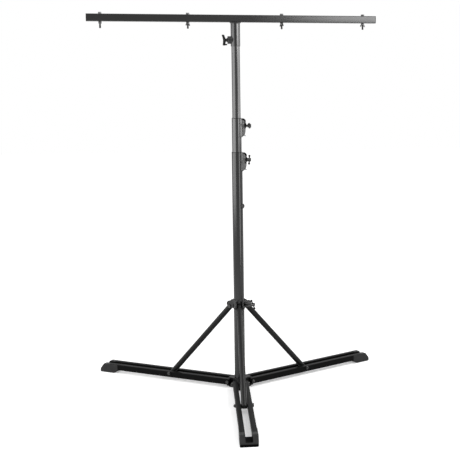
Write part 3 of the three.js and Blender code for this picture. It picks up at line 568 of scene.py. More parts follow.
def clamp_distance(tube):
    """The clamp beside a tube of that radius, x outwards, y sideways, z up from the rim: a nose
    with tapered flanks and a round top corner, a lip at its heel, a raised rib along its edge and
    a groove beside it, a saddle on the tube and the boss. The bores for tube and screw are out."""
    reach = tube + NOSE_REACH
    front = reach - 0.0025
    bore = tube + BORE_GAP

    def distance(x, y, z):
        flank = (np.abs(y) - NOSE_HALF) * 0.9135 + (x - reach + 0.018) * 0.4067
        rounded = soft_most(0.004, np.abs(y) - NOSE_HALF, flank, x - reach)
        top_corner = rounded_corner(x - reach, z, NOSE_CORNER)
        under = sheet_line(x, z, (tube - 0.002, -CLAMP_HEIGHT), (reach - 0.0095, -0.0725))
        heel = sheet_line(x, z, (reach - 0.006, -0.068), (front, -0.058))
        upper = sheet_line(x, z, (front, -0.058), (reach, -0.015))
        outline = soft_most(0.003, top_corner, under, heel, upper)
        nose = soft_most(0.0016, rounded, outline, z, -x)
        rib = soft_most(0.0008, rounded - 0.0006, outline, -(outline + 0.0030),
                        z, rounded - 0.0007)
        along = np.clip(((x - reach + 0.007) * 0.805 - (z + 0.0705) * 0.593) / 0.0047, 0, 1)
        lip = np.hypot(x - reach + 0.007 - 0.0038 * along, z + 0.0705 + 0.0028 * along) - 0.0014
        lip = soft_most(0.001, lip, np.abs(y) - 0.0070)
        groove = soft_most(0.0006, np.abs(top_corner + 0.0050) - 0.0019, -0.046 - z,
                           -(rounded + 0.0030))
        nose = soft_most(0.0006, soft_least(0.0015, soft_least(0.0006, nose, rib), lip), -groove)
        around = np.hypot(x, y)
        wrap = np.abs(y) - x * math.tan(math.radians(46))
        point = -(z + CLAMP_HEIGHT - 0.009 + 0.25 * np.abs(y))
        cheek = soft_most(0.001, around - bore - SADDLE_WALL, wrap * 0.7, z, point)
        screw = np.hypot(y, z + CLAMP_DROP)
        boss = soft_most(0.0012, screw - CLAMP_BOSS, x - reach - 0.001, -x + tube)
        whole = soft_least(0.004, soft_least(0.003, nose, cheek), boss)
        whole = soft_most(0.0006, whole, bore - around)
        return soft_most(0.0006, whole, SCREW_HOLE - screw)

    return distance


for clamp, rim, tube, body in (
    ("lower_clamp_body", lower_high.z, LOWER_RADIUS, "base"),
    ("upper_clamp_body", mid_high.z, MID_RADIUS, "mid_section"),
):
    points, quads = cast_skin(
        clamp_distance(tube), (0.010, -0.021, -0.084), (tube + 0.026, 0.021, 0.003), 0.0006
    )
    # Painted shade: points within the band's depth of the round top corner, above its drop, are
    # marked to be darkened.
    ahead, z = points[:, 0] - tube - NOSE_REACH, points[:, 2]
    depth = -rounded_corner(ahead, z, NOSE_CORNER)
    place = moved(CLAMP_TURN, z=rim)
    piece = add_piece(clamp, place(points), quads, casting, body, crease=60)
    mark_painted_shade(piece, (depth < SHADE_BAND_DEPTH) & (z > -SHADE_BAND_HEIGHT) & (ahead > -NOSE_CORNER))

# Clamp screws. A steel screw with a cut thread and a round head, a plain cross bar with a ball
# at each end through the head, and a nylon pad at the screw's tip that bears on the inner tube.


def blackened_steel(name, tone, roughness):
    """Blackened steel: metal with faint turning lines and small cloudy changes in gloss."""
    return grained(
        name, "blackened_steel", 0.5, (2500.0, 2.0), (180.0, 4.0), (tone * 0.7, tone * 1.3),
        (roughness - 0.07, roughness + 0.07), 0.2, 0.00005, metal=0.85,
    )


steel = blackened_steel("blackened_steel", 0.045, 0.30)

SCREW_RADIUS, SCREW_PITCH, THREAD_DEPTH = 0.005, 0.0015, 0.0007
HEAD_RADIUS, HEAD_HALF = 0.0075, 0.0075


def thread_between(start, end, pitch, depth):
    """Thread wave: minus depth times a rounded saw of (distance / pitch - angle / one turn),
    fading out within one pitch of both ends."""

    def wave(along, angle, radius):
        phase = along / pitch - angle / (2 * math.pi)
        saw = np.abs((phase % 1) * 2 - 1)
        fade = np.clip((along - start) / pitch, 0, 1) * np.clip((end - along) / pitch, 0, 1)
        return -depth * (1 - saw) * fade

    return wave


def threaded_end(radius, tip, end, spacing, lead=0.001, taper=0.001):
    """Profile of a threaded shank: a flat tip narrowed by the taper, then a row every spacing."""
    rows = np.arange(tip + lead, end, spacing)
    return [(0, tip), (radius - taper, tip)] + [(radius, x) for x in rows]


def tee_screw(name, body, height, turn, roll, tip, head, has_pad):
    """Screw, cross bar and pad for a clamp: turned pieces along X, placed on the mast."""
    place = moved(turn, z=height, roll=roll)
    thread_end = head - HEAD_HALF
    shank = threaded_end(SCREW_RADIUS, tip, thread_end - 0.0002, SCREW_PITCH / 8)
    shank += [(SCREW_RADIUS, thread_end - 0.0001)]
    round_head = stepped_profile((thread_end, head + HEAD_HALF), (HEAD_RADIUS,), 0.0012)
    turned(
        name + "_screw", np.concatenate([shank, round_head[1:]]), steel, body, axis="X", steps=48,
        place=place, crease=50,
        wave=thread_between(tip + 0.001, thread_end - 0.001, SCREW_PITCH, THREAD_DEPTH),
    )
    half, ball, rod = 0.024, 0.0046, 0.0028
    contact = math.asin(rod / ball)
    arc = np.linspace(0, math.pi - contact, 14)
    end = np.stack([ball * np.sin(arc), -half - ball * np.cos(arc)], -1)
    profile = np.concatenate([end, end[::-1] * (1, -1)])
    profile[0, 0] = profile[-1, 0] = 0
    turned(
        name + "_tommy_bar", profile, plastic, body, steps=32, crease=50,
        place=lambda p: place(p + np.array([head, 0, 0])),
    )
    if has_pad:
        low = tip - 0.0023
        pad = stepped_profile((low, low + 0.002), (0.0046,), 0.0004)
        turned(name + "_pressure_pad", pad, nylon, body, axis="X", steps=32, place=place)


PAD_AND_GAPS = 0.0026
tee_screw("lower_clamp", "lower_clamp_screw", lower_high.z - CLAMP_DROP, CLAMP_TURN,
          math.radians(-52), MID_RADIUS + PAD_AND_GAPS, 0.051, True)
tee_screw("upper_clamp", "upper_clamp_screw", mid_high.z - CLAMP_DROP, CLAMP_TURN,
          math.radians(-110), TOP_RADIUS + PAD_AND_GAPS, 0.053, True)

# Collar stop. A round rubber pad on the front right of the lower tube, held by a small screw,
# where the spreader collar comes to rest when the legs are folded.


def rubber(name, tone):
    """Matt black rubber with a dusty bloom in broad soft patches."""
    return grained(
        name, "black_rubber", 0.35, (900.0, 2.0), (60.0, 5.0), (tone, tone * 2.2, 0.35, 0.75),
        (0.6, 0.78), 0.4, 0.0002,
    )


black_rubber = rubber("black_rubber", 0.010)

STOP_TURN = math.radians(-36)
stop_low, stop_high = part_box("collar_stop")
stop_height = (stop_low.z + stop_high.z) / 2
STOP_RADIUS, STOP_FACE = 0.010, LOWER_RADIUS + 0.0065


def cast_piece(name, distance, low, high, step, finish, body, place=np.asarray):
    """A piece whose skin lies where distance(x, y, z) is zero, moved to its place."""
    points, quads = cast_skin(distance, low, high, step)
    add_piece(name, place(points), quads, finish, body, crease=60)


def stop_distance(x, y, z):
    """A short cylinder along x with a rounded rim, its back cut to the tube and a screw recess."""
    across = np.hypot(y, z)
    pad = soft_most(0.003, across - STOP_RADIUS, x - STOP_FACE)
    pad = soft_most(0.0004, pad, LOWER_RADIUS + SEAT_GAP - np.hypot(x, y), -x)
    recess = soft_most(0.0004, across - 0.0044, LOWER_RADIUS + 0.0038 - x)
    hole = across - 0.0023
    return soft_most(0.0006, pad, -recess, -hole)


stop_place = moved(STOP_TURN, z=stop_height)
cast_piece(
    "collar_stop", stop_distance, (0.014, -0.014, -0.014), (0.031, 0.014, 0.014), 0.0005,
    black_rubber, "base", stop_place,
)
turned(
    "collar_stop_screw",
    np.array([(0, 0.0003), (0.002, 0.0003), (0.002, 0.0043), (0.0040, 0.0043), (0.0039, 0.0054),
              (0.0032, 0.0061), (0.0022, 0.0064), (0.0018, 0.0064), (0.0017, 0.0052), (0, 0.005)])
    + (0, LOWER_RADIUS),
    steel, "base", axis="X", steps=32, place=stop_place,
)

# Base hub. A casting at the foot of the mast: a ring round the tube, three lugs between the legs'
# tubes and a lobed plate under them, all joined by fillets, with a rubber plug underneath.

HUB_TURNS = {"front": math.radians(-90), "right": math.radians(30), "left": math.radians(150)}
PIVOT_RADIUS, LEG_HEIGHT, BOLT_HOLE = 0.044, 0.027, 0.0044
LUG_HALF, LUG_REACH, LUG_TOP, LUG_CORNER = 0.0127, 0.0585, 0.0415, 0.0125
PLATE_HALF, PLATE_REACH, PLATE_TOP, PLATE_CORNER = 0.023, 0.0485, 0.0113, 0.0115
HUB_BOTTOM, HUB_TOP = 0.0033, 0.044
HUB_BORE, HUB_RING = 0.0229, 0.0284


def along_and_beside(x, y, turn):
    """How far a point lies out along that direction, and how far to the left of it."""
    c, s = math.cos(turn), math.sin(turn)
    return x * c + y * s, -x * s + y * c


def hub_distance(x, y, z):
    """Ring, and for each leg a lug with a round top corner and a plate with a round end."""
    around = np.hypot(x, y)
    whole = soft_most(0.0015, around - HUB_RING, slab(z, HUB_BOTTOM, HUB_TOP))
    for turn in HUB_TURNS.values():
        r, side = along_and_beside(x, y, turn)
        top_corner = rounded_corner(r - LUG_REACH, z - LUG_TOP, LUG_CORNER)
        lug = soft_most(0.0012, top_corner, np.abs(side) - LUG_HALF, -r, HUB_BOTTOM - z)
        plate = rounded_corner(r - PLATE_REACH, np.abs(side) - PLATE_HALF, PLATE_CORNER)
        plate = soft_most(0.0014, plate, slab(z, HUB_BOTTOM, PLATE_TOP), -r)
        whole = soft_least(0.0035, whole, lug)
        whole = soft_least(0.0016, whole, plate)
        whole = soft_most(0.0006, whole, BOLT_HOLE - np.hypot(r - PIVOT_RADIUS, z - LEG_HEIGHT))
    return soft_most(0.0008, whole, HUB_BORE - around)


low_casting = cast_paint("cast_paint_hub", 0.005, 0.12, 0.38)
collar_casting = cast_paint("cast_paint_collar", 0.010, 0.35, 0.28)
cast_piece(
    "base_hub", hub_distance, (-0.068, -0.062, 0.001), (0.068, 0.057, 0.047), 0.0011, low_casting,
    "base",
)
pad = stepped_profile((0, 0.003, 0.018), (0.0281, 0.0206), 0.0008)
turned("mast_base_pad", pad, black_rubber, "base")

# Cross bolts. M8 bolts through the legs and the strut ends: a chamfered hexagonal head on one
# side, and on the other a lock nut with its nylon ring and a short end standing out.

BOLT_RADIUS, HEX_HALF, LEG_HALF = 0.004, 0.0065, 0.033


def hexagonal(start, end):
    """Wave that turns a round profile into a hexagon from start to end: the flat at angle a lies
    at half the width over cos(a), and a cone of 30 degrees takes off the outer corners."""
    outer_face = max(start, end, key=abs)

    def wave(along, angle, radius):
        a = (angle + math.pi / 6) % (math.pi / 3) - math.pi / 6
        on = (along > start - 1e-6) & (along < end + 1e-6) & (radius > HEX_HALF * 0.8)
        cone = HEX_HALF * 0.97 + np.abs(outer_face - along) * 1.732
        return np.where(on, np.minimum(HEX_HALF / np.cos(a), cone) - radius, 0)

    return wave


def cross_bolt(name, body, grip, place):
    """Bolt along Y: shank, head at +Y and lock nut at -Y, as one turned profile."""
    half = grip + SEAT_GAP
    head_top, nut_end = half + 0.0055, -half - 0.0065
    tip = nut_end - 0.002
    wide = HEX_HALF * 1.1
    profile = [(0, tip), (0.0030, tip), (BOLT_RADIUS, tip + 0.0008)]
    profile += [(BOLT_RADIUS, nut_end + 0.0002), (0.0052, nut_end)]
    profile += [(0.0056, nut_end + 0.0004), (0.0056, nut_end + 0.0014)]
    profile += [(wide, nut_end + 0.0015 + k) for k in (0, 0.0006, 0.0012, 0.0046, 0.005)]
    profile += [(BOLT_RADIUS, -half + 0.0001), (BOLT_RADIUS, half - 0.0001)]
    profile += [(wide, half + k) for k in (0, 0.0003, 0.0035, 0.0042, 0.0048, 0.0054)]
    profile += [(HEX_HALF * 0.8, head_top), (0, head_top)]
    nut, head = hexagonal(nut_end + 0.0015, -half), hexagonal(half, head_top)
    turned(
        name, profile, steel, body, axis="Y", steps=48, place=place, crease=25,
        wave=lambda a, t, r: nut(a, t, r) + head(a, t, r),
    )


for side, turn in HUB_TURNS.items():
    cross_bolt("hub_bolt_" + side, "base", LEG_HALF, moved(turn, PIVOT_RADIUS, z=LEG_HEIGHT))

# Legs. Each is a pair of 20 x 25 mm box tubes in black powder coat, rounded at the hub, with a
# cross bolt and a distance sleeve where the strut stands.

leg_coat = powder_coat("powder_coat_legs", 0.0025, 0.045, 0.0, 0.40)
TUBE_WIDTH, TUBE_HEIGHT, TUBE_WALL, TUBE_CORNER = 0.020, 0.025, 0.0015, 0.002
TUBE_CENTRE, END_ROUND = 0.023, 0.0128
STRUT_PIVOT, STRUT_HEIGHT = 0.332, LEG_HEIGHT + 0.005


def box_outline(width, height, corner, steps):
    """Points round a rectangle with rounded corners: four quarter circles one after another."""
    quarter = np.linspace(0, math.pi / 2, steps)
    angle = (np.arange(4)[:, None] * math.pi / 2 + quarter).reshape(-1)
    sign_y = np.repeat([1, -1, -1, 1], steps)
    sign_z = np.repeat([1, 1, -1, -1], steps)
    y = sign_y * (width / 2 - corner) + corner * np.cos(angle)
    z = sign_z * (height / 2 - corner) + corner * np.sin(angle)
    return y, z


def box_tube(name, width, height, wall, corner, start, end, finish, body, place,
             round_about=None):
    """Hollow box section along X: the outline goes along the outside and back along the inside.
    With round_about, each line starts where it meets a circle about that point, so the end is
    rounded in the side view."""
    steps = 7
    shares = np.concatenate([[0], np.linspace(0.004, 0.996, 14), [1]])

    def layer(inset, shares):
        bend = max(corner - inset, 0.0004)
        y, z = box_outline(width - inset * 2, height - inset * 2, bend, steps)
        first = start + 0 * z
        if round_about is not None:
            first = round_about - np.sqrt(np.maximum(END_ROUND ** 2 - z ** 2, 0))
        x = first[None, :] + (end - first)[None, :] * shares[:, None]
        return np.stack([x, y + 0 * x, z + 0 * x], -1)

    skins = [layer(0, shares), layer(wall, shares[::-1])]
    points = np.concatenate(skins)
    faces = grid_faces(points.shape[0], points.shape[1], ring_rows=True)
    add_piece(name, place(points.reshape(-1, 3)), faces, finish, body, crease=40)


foot_low, foot_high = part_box("foot_front")
FOOT_TIP, FOOT_INNER = -foot_low.y, -foot_high.y
TUBE_END = FOOT_INNER + 0.044
for side, turn in HUB_TURNS.items():
    for letter, way in (("a", 1), ("b", -1)):
        box_tube(
            f"leg_tube_{letter}_{side}", TUBE_WIDTH, TUBE_HEIGHT, TUBE_WALL, TUBE_CORNER, 0,
            TUBE_END, leg_coat, "leg_" + side, moved(turn, y=way * TUBE_CENTRE, z=LEG_HEIGHT),
            PIVOT_RADIUS,
        )
    place = moved(turn, STRUT_PIVOT, z=STRUT_HEIGHT)
    cross_bolt("strut_bolt_" + side, "leg_" + side, LEG_HALF, place)
    sleeve = stepped_profile((-LUG_HALF, LUG_HALF), (0.006,), 0.0003, BOLT_HOLE)
    turned("strut_sleeve_" + side, sleeve, nylon, "leg_" + side, axis="Y", steps=48, place=place)

# Feet. Moulded black shoes that hold both tube ends of a leg, level with their tops: flat sole,
# sloping front, a stepped-up heel, and between the tubes an open tray with a low front wall.

FOOT_HALF, FOOT_TOP, FOOT_CORNER = 0.0347, 0.0395, 0.008
TRAY_HALF, TRAY_FLOOR, FRONT_WALL, FRONT_TOP = 0.013, 0.008, 0.005, 0.016
HEEL_RUN, SLOPE_RUN, LIP = 0.021, 0.0224, 0.012


def foot_distance(x, y, z):
    """Side view of heel, sole, lip, slope and top, rounded in plan, less the tray between the
    tubes, the sockets for them and a groove round the sole."""
    side_view = soft_most(
        0.003,
        FOOT_INNER - x,
        z - FOOT_TOP,
        -z,
        x - FOOT_TIP,
        sheet_line(x, z, (FOOT_TIP, LIP), (FOOT_TIP - SLOPE_RUN, FOOT_TOP)),
        sheet_line(x, z, (FOOT_INNER, 0.0122), (FOOT_INNER + HEEL_RUN, 0)),
    )
    plan = rounded_corner(x - FOOT_TIP, np.abs(y) - FOOT_HALF, FOOT_CORNER)
    whole = soft_most(0.0024, side_view, plan)
    across = np.abs(y) - TRAY_HALF
    low = soft_most(0.001, across, TRAY_FLOOR - z, x - (FOOT_TIP - FRONT_WALL))
    tray = soft_least(0.0006, low, soft_most(0.0006, across, FRONT_TOP - z))
    sockets = soft_most(
        0.0006,
        np.abs(np.abs(y) - TUBE_CENTRE) - TUBE_WIDTH / 2 - 0.0002,
        LEG_HEIGHT - TUBE_HEIGHT / 2 - 0.0002 - z,
        x - TUBE_END - 0.0003,
    )
    groove = soft_most(
        0.0004, np.abs(z - 0.0035) - 0.0006, -(plan + 0.0008), FOOT_INNER + 0.028 - x
    )
    return soft_most(0.0008, whole, -tray, -sockets, -groove)


# The feet's plastic has painted shade: it darkens where the recess attribute is 1.
foot_plastic = moulded_plastic("black_plastic_feet", "black_plastic", 0.022, 0.5, with_painted_shade=True)
foot_points, foot_quads = cast_skin(
    foot_distance, (FOOT_INNER - 0.002, -0.0365, -0.0015), (FOOT_TIP + 0.002, 0.0365, 0.043), 0.001
)
foot_points[:, 2] = np.maximum(foot_points[:, 2], 0)
out, beside, up = foot_points[:, 0], np.abs(foot_points[:, 1]), foot_points[:, 2]
# Painted shade: the tray between the tubes and the face under the front lip are marked to be
# darkened.
tray_shade = (beside < TRAY_HALF + 0.0007) & (out < FOOT_TIP - FRONT_WALL + 0.0008) & (up < 0.036)
lip_shade = (out > FOOT_TIP - 0.006) & (up < LIP - 0.0012)
for side, turn in HUB_TURNS.items():
    points = moved(turn)(foot_points)
    piece = add_piece("foot_" + side, points, foot_quads, foot_plastic, "leg_" + side, crease=60)
    mark_painted_shade(piece, tray_shade | lip_shade)

# Struts. Round 24 mm tubes with closed, rounded ends between the legs and the spreader collar,
# each with a cross bolt at its upper end.

COLLAR_PIVOT_RADIUS, COLLAR_PIVOT_HEIGHT = 0.038, 0.355
STRUT_RADIUS, STRUT_END = 0.012, 0.0123
strut_run, strut_rise = COLLAR_PIVOT_RADIUS - STRUT_PIVOT, COLLAR_PIVOT_HEIGHT - STRUT_HEIGHT
strut_length = math.hypot(strut_rise, strut_run)


def strut_surface():
    """Tube along X whose ends are rounded in the side view: at height z over the axis a line of
    the tube runs past each bolt by sqrt(R^2 - z^2). The end face is ruled across the tube."""
    steps = 64
    angle = np.arange(steps) * 2 * math.pi / steps
    y, z = STRUT_RADIUS * np.cos(angle), STRUT_RADIUS * np.sin(angle)
    over = np.sqrt(STRUT_END ** 2 - z ** 2)
    body_shares = np.linspace(0, 1, 20)[:, None]
    x = -over + (strut_length + 2 * over) * body_shares
    rings = np.stack([x, y + 0 * x, z + 0 * x], -1)
    inward = np.array([0.93, 0.8, 0.6, 0.4, 0.2, 0.02])[:, None]
    bulge = 0.0009 * np.sqrt(1 - inward ** 2)
    start = np.stack([-over - bulge, y * inward, z + 0 * inward], -1)[::-1]
    end = np.stack([strut_length + over + bulge, y * inward, z + 0 * inward], -1)
    points = np.concatenate([start, rings, end])
    faces = grid_faces(len(points), steps).tolist()
    last = (len(points) - 1) * steps
    half = steps // 2
    j = np.arange(half)
    ring_a = np.stack([j, j + 1, (-j - 1) % steps, (-j) % steps], -1)
    faces += ring_a[1:-1, ::-1].tolist() + (ring_a[1:-1] + last).tolist()
    for ring in (ring_a[0, [3, 1, 2]], ring_a[-1, [0, 1, 3]]):
        faces += [ring[::-1].tolist(), (ring + last).tolist()]
    return points.reshape(-1, 3), faces


def on_strut(turn):
    """Leans a piece modelled along X with the strut, from the leg's bolt up to the collar: out by
    x cos - z sin and up by x sin + z cos."""
    c, s = strut_run / strut_length, strut_rise / strut_length

    def place(points):
        x, y, z = np.moveaxis(points, -1, 0)
        r = STRUT_PIVOT + x * c - z * s
        return moved(turn)(np.stack([r, y, STRUT_HEIGHT + x * s + z * c], -1))

    return place


strut_coat = powder_coat("powder_coat_struts", 0.0055, 0.14, 0.0, 0.30)
EAR_OUTER = 0.0158
strut_points, strut_faces = strut_surface()
for side, turn in HUB_TURNS.items():
    strut = "strut_" + side
    place = on_strut(turn)
    add_piece(strut, place(strut_points), strut_faces, strut_coat, strut, crease=50)
    cross_bolt("collar_bolt_" + side, strut, EAR_OUTER,
               lambda p, place=place: place(p + np.array([strut_length, 0, 0])))

# Spreader collar. A casting that slides on the lower tube: a thin ring with three pairs of ears,
# cut back between them for the folded struts, a boss for its clamp screw, and a notch in the
# upper rim that goes round the collar stop when the legs are folded.

RING_LOW, RING_HIGH = COLLAR_PIVOT_HEIGHT - 0.008, COLLAR_PIVOT_HEIGHT + 0.022
CROWN_TOP = RING_HIGH + 0.009
RING_RADIUS, BEAD_RADIUS, BEAD_ROUND = 0.0249, 0.0246, 0.0016
EAR_GAP, EAR_ROUND, EAR_MIDDLE = 0.0128, 0.0135, COLLAR_PIVOT_HEIGHT + 0.010
COLLAR_SCREW_TURN = math.radians(-30)
BOSS_ROUND, BOSS_END = 0.0095, 0.047
COLLAR_SCREW_HEIGHT = RING_HIGH - BOSS_ROUND - 0.0008
NOTCH_HALF = STOP_RADIUS + 0.0008
STRUT_ROOM = 0.0132


def collar_distance(x, y, z):
    """A ring with a bead along both rims, less the notch and the struts' room, three pairs of ears
    with a raised rim round the bolt's hole, and the screw's boss. The bores are taken out."""
    around = np.hypot(x, y)
    whole = soft_most(0.0012, around - RING_RADIUS, slab(z, RING_LOW, CROWN_TOP))
    beads = [np.hypot(around - BEAD_RADIUS, z - middle) - BEAD_ROUND
             for middle in (CROWN_TOP - BEAD_ROUND, RING_LOW + BEAD_ROUND)]
    whole = soft_least(0.0012, whole, *beads)
    out, beside = along_and_beside(x, y, STOP_TURN)
    notch = soft_most(0.001, np.abs(beside) - NOTCH_HALF, RING_HIGH - z, -out)
    whole = soft_most(0.0006, whole, -notch)
    for turn in HUB_TURNS.values():
        r, side = along_and_beside(x, y, turn)
        dr, dz = r - COLLAR_PIVOT_RADIUS, z - COLLAR_PIVOT_HEIGHT
        whole = soft_most(0.0004, whole, STRUT_ROOM - np.hypot(dr, side))
        eye = np.hypot(dr, z - EAR_MIDDLE) - EAR_ROUND
        lower = sheet_line(r, z, (0.038, RING_LOW), (0.0475, EAR_MIDDLE - 0.0095))
        arm = soft_most(0.002, dr, z - EAR_MIDDLE - EAR_ROUND, lower, -r, RING_LOW - z)
        ear = soft_least(0.002, eye, arm)
        ear = soft_most(0.0009, ear, slab(np.abs(side), EAR_GAP, EAR_OUTER))
        rim = soft_most(0.0006, np.abs(np.hypot(dr, dz) - 0.0088) - 0.0009,
                        slab(np.abs(side), EAR_OUTER - 0.001, EAR_OUTER + 0.0001))
        ear = soft_least(0.0008, ear, rim)
        ear = soft_most(0.0008, ear, BOLT_HOLE - np.hypot(dr, dz))
        whole = soft_least(0.0022, whole, ear)
    out, beside = along_and_beside(x, y, COLLAR_SCREW_TURN)
    radial = np.hypot(beside, z - COLLAR_SCREW_HEIGHT)
    boss = soft_most(0.0015, radial - BOSS_ROUND, out - BOSS_END, -out)
    whole = soft_least(0.002, whole, boss)
    whole = soft_most(0.0006, whole, HUB_BORE - around)
    return soft_most(0.0006, whole, np.minimum(SCREW_HOLE - radial, out))


cast_piece(
    "spreader_collar", collar_distance, (-0.056, -0.056, RING_LOW - 0.003),
    (0.056, 0.052, CROWN_TOP + 0.003), 0.0008, collar_casting, "collar",
)
tee_screw("collar", "collar_screw", COLLAR_SCREW_HEIGHT, COLLAR_SCREW_TURN, math.radians(35),
          LOWER_RADIUS + SEAT_GAP, 0.066, False)

# Crossbar. A 1200 mm length of 30 mm square steel tube in black powder coat, closed at each end
# by a moulded plug with a slightly crowned face.

BAR_TURN = math.radians(6)
BAR_SIDE, BAR_WALL, BAR_CORNER = 0.030, 0.0015, 0.0025
BAR_LENGTH = 1.2
CAP_THICKNESS = 0.0025
BAR_HALF = BAR_LENGTH / 2 - CAP_THICKNESS - SEAT_GAP
BAR_TOP = 1.576
bar_place = moved(BAR_TURN, z=BAR_TOP - BAR_SIDE / 2)

bar_coat = powder_coat("powder_coat_bar", 0.005, 0.36, 0.005, 0.28)
box_tube(
    "crossbar", BAR_SIDE, BAR_SIDE, BAR_WALL, BAR_CORNER, -BAR_HALF, BAR_HALF, bar_coat, "t_bar",
    bar_place,
)


def end_plug_surface():
    """Square plug along X: rings of the bar's outline, drawn in towards the crowned outer face and
    stepped down to the part inside the tube, and closed by a point at each end."""
    inner = BAR_SIDE - 2 * BAR_WALL - 0.0006
    rows = [
        (-0.014, inner * 0.9), (-0.0135, inner * 0.95), (-0.0012, inner), (0.0, inner),
        (0.0, BAR_SIDE - 0.0004), (0.0004, BAR_SIDE), (0.0016, BAR_SIDE),
        (0.0021, BAR_SIDE - 0.0008), (0.0024, BAR_SIDE - 0.003), (0.0025, BAR_SIDE * 0.6),
        (0.0025, BAR_SIDE * 0.2),
    ]
    rings = []
    for x, side in rows:
        y, z = box_outline(side, side, min(BAR_CORNER, side / 4), 6)
        rings.append(np.stack([x + 0 * y, y, z], -1))
    steps = len(rings[0])
    return closed_ends(
        np.concatenate(rings), grid_faces(len(rings), steps), steps,
        (rows[0][0], 0, 0), (rows[-1][0], 0, 0),
    )


plug_points, plug_faces = end_plug_surface()
for name, way in (("right", 1), ("left", -1)):
    points = bar_place(plug_points * (way, way, 1) + (way * (BAR_HALF + SEAT_GAP), 0, 0))
    add_piece("crossbar_end_cap_" + name, points, plug_faces, plastic, "t_bar", crease=30)

# Socket. A short sleeve welded under the middle of the crossbar that slips over the top tube,
# with a turned boss on its left for the wing screw. The weld shows as a rippled bead.

SOCKET_BORE, SOCKET_OUTER = 0.0179, 0.0196
SOCKET_TOP = BAR_TOP - BAR_SIDE - SEAT_GAP
SOCKET_LOW = SOCKET_TOP - 0.098
WING_HEIGHT = SOCKET_LOW + 0.026
BOSS_REACH, BOSS_RADIUS = 0.033, 0.016


def socket_distance(x, y, z):
    """Sleeve with a closed top, boss along -x with a chamfered face, and a rippled weld bead."""
    around = np.hypot(x, y)
    angle = np.arctan2(y, x)
    sleeve = soft_most(0.0008, around - SOCKET_OUTER, slab(z, SOCKET_LOW, SOCKET_TOP))
    ripple = 0.00025 * np.cos(angle * 34)
    bead = soft_most(0.0005, np.hypot(around - 0.0193, z - SOCKET_TOP) - 0.0038 - ripple,
                     z - SOCKET_TOP)
    across = np.hypot(y, z - WING_HEIGHT)
    boss = soft_most(0.0008, across - BOSS_RADIUS, -x - BOSS_REACH, x,
                     (across - BOSS_RADIUS - x - BOSS_REACH) * 0.7071 + 0.0006)
    whole = soft_least(0.0015, soft_least(0.001, sleeve, bead), boss)
    bore = np.maximum(around - SOCKET_BORE, z - SOCKET_TOP + 0.004)
    screw = np.maximum(across - SCREW_HOLE, x)
    return soft_most(0.0005, whole, -bore, -screw)


cast_piece(
    "t_socket", socket_distance, (-0.036, -0.026, SOCKET_LOW - 0.002),
    (0.026, 0.026, SOCKET_TOP + 0.002), 0.0008, mast_coat, "t_bar", moved(BAR_TURN),
)

# Wing screw. A black moulded butterfly grip on a threaded steel shank, screwed into the socket's
# boss until the shank's tip meets the top tube.

WING_NECK = BOSS_REACH + SEAT_GAP
WING_TIP = WING_NECK + 0.023
WING_SPAN = 0.0225
WING_SWEEP, WING_LEAN, WING_BLADE = 0.0037, 0.0042, 0.0108


def wing_distance(x, y, z):
    """Along +x: a neck that flares to the boss, two rounded wings that sweep outwards, the upper
    one further, thin in y and hollowed a little, and a web from the lower wing to the boss."""
    flare = 0.005 + 0.0045 * np.clip((WING_NECK + 0.006 - x) / 0.006, 0, 1)
    neck = soft_most(0.0012, np.hypot(y, z) - flare, slab(x, WING_NECK, WING_NECK + 0.0105))
    reach = np.abs(z) / WING_SPAN
    lean = WING_LEAN * np.maximum(z, z * 0.2) / WING_SPAN
    centre = WING_NECK + 0.0115 + WING_SWEEP * reach + lean
    width = WING_BLADE / 2 + 0.0022 * np.maximum(0.6 - reach, 0)
    blade = soft_most(
        0.003,
        np.abs(x - centre) - width,
        np.abs(z) - WING_SPAN,
        np.abs(y) - 0.0025 - 0.0006 * (reach - 0.5) ** 2,
    )
    sunk = (np.abs(y) - 0.0052) * 1.6
    dish = np.sqrt((x - centre) ** 2 + (np.abs(z) - 0.0145) ** 2 + sunk ** 2)
    blade = soft_most(0.001, blade, 0.0052 - dish)
    web = soft_most(0.0012, slab(x, WING_NECK + 0.0005, WING_NECK + 0.015),
                    slab(z, -WING_SPAN + 0.0010, -WING_SPAN + 0.0065), np.abs(y) - 0.0025)
    return soft_least(0.003, neck, blade, web)


wing_place = moved(BAR_TURN + math.pi, z=WING_HEIGHT, roll=math.radians(-14))
cast_piece(
    "wing_screw", wing_distance, (0.031, -0.0095, -0.025), (WING_TIP + 0.003, 0.0095, 0.025),
    0.0006, plastic, "wing_screw", wing_place,
)
shank_start = TOP_RADIUS + SEAT_GAP
shank = threaded_end(SCREW_RADIUS, shank_start, WING_NECK + 0.0005, SCREW_PITCH / 8)
shank += [(SCREW_RADIUS, WING_NECK + 0.003), (0, WING_NECK + 0.003)]
thread = thread_between(shank_start + 0.001, WING_NECK, SCREW_PITCH, THREAD_DEPTH)
turned(
    "wing_screw_shank", shank, steel, "wing_screw", "wing_screw", axis="X", steps=48, crease=50,
    wave=thread, place=wing_place,
)

# Lamp bolts and wing nuts. Four M8 bolts drop through the crossbar from above, each with a washer
# under its hexagonal head and a pressed steel wing nut run up to the underside.

BOLT_DROP, BOLT_PITCH = 0.027, 0.00125
OUTER_BOLT = BAR_LENGTH / 2 - 0.055
INNER_BOLT = BAR_LENGTH * 0.1625
LAMP_BOLTS = (-OUTER_BOLT, -INNER_BOLT, INNER_BOLT, OUTER_BOLT)
NUT_TURNS = (90, 57, 104, 41)


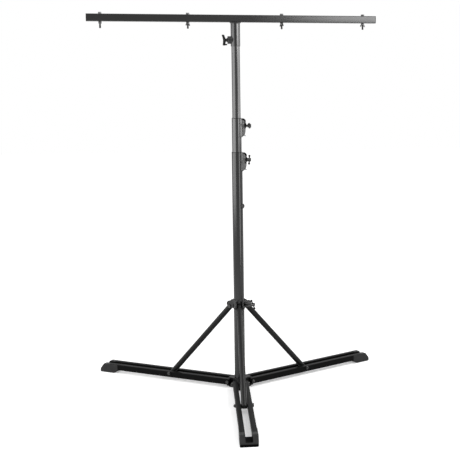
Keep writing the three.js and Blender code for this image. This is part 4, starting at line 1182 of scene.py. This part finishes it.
def lamp_bolt(name, x):
    """Threaded shank, washer and chamfered hexagonal head, as one turned profile."""
    tip, washer = -BAR_SIDE - BOLT_DROP, SEAT_GAP
    head = washer + 0.0012
    head_top = head + 0.0055
    thread_top = -BAR_SIDE + 0.004
    profile = threaded_end(BOLT_RADIUS, tip, thread_top, BOLT_PITCH / 7, 0.0008, 0.0009)
    profile += [(BOLT_RADIUS, washer - 0.0001), (0.0072, washer), (0.0075, washer + 0.0003)]
    profile += [(0.0075, washer + 0.0009), (0.0072, head - 0.00005)]
    rows = (0.0001, 0.0005, 0.0035, 0.0042, 0.0048, 0.0054)
    profile += [(HEX_HALF * 1.1, head + k) for k in rows]
    profile += [(HEX_HALF * 0.8, head_top), (0, head_top)]
    thread = thread_between(tip + 0.0006, thread_top, BOLT_PITCH, 0.0006)
    hexagon = hexagonal(head + 0.0001, head_top)
    turned(
        name, profile, steel, "t_bar", steps=48, crease=25, place=moved(BAR_TURN, x, z=BAR_TOP),
        wave=lambda a, t, r: thread(a, t, r) + hexagon(a, t, r),
    )


def wing_nut_distance(x, y, z):
    """Cone under the bar with two thin wings that sweep down and out, and a plain bore."""
    around = np.hypot(x, y)
    cone = soft_most(0.0008, around - 0.0068 - z * 0.07, slab(z, -0.009, 0))
    out = np.abs(x)
    spine = -0.0062 - 0.55 * np.maximum(out - 0.005, 0)
    blade = soft_most(
        0.0026, np.abs(z - spine) - 0.0042 + out * 0.03, out - 0.0168, -0.0158 - z, z + 0.0008
    )
    blade = soft_most(0.0009, blade, np.abs(y) - 0.0013 - 0.0004 * (out / 0.0168))
    whole = soft_least(0.0018, cone, blade)
    return soft_most(0.0004, whole, 0.0043 - around)


nut_points, nut_quads = cast_skin(
    wing_nut_distance, (-0.0185, -0.0085, -0.0175), (0.0185, 0.0085, 0.0015), 0.0005
)
for number, (x, angle) in enumerate(zip(LAMP_BOLTS, NUT_TURNS), 1):
    lamp_bolt(f"lamp_bolt_{number}", x)
    nut = f"wing_nut_{number}"
    turned_nut = moved(math.radians(angle))(nut_points)
    place = moved(BAR_TURN, x, z=BAR_TOP - BAR_SIDE - SEAT_GAP)
    add_piece(nut, place(turned_nut), nut_quads, steel, nut, crease=60)
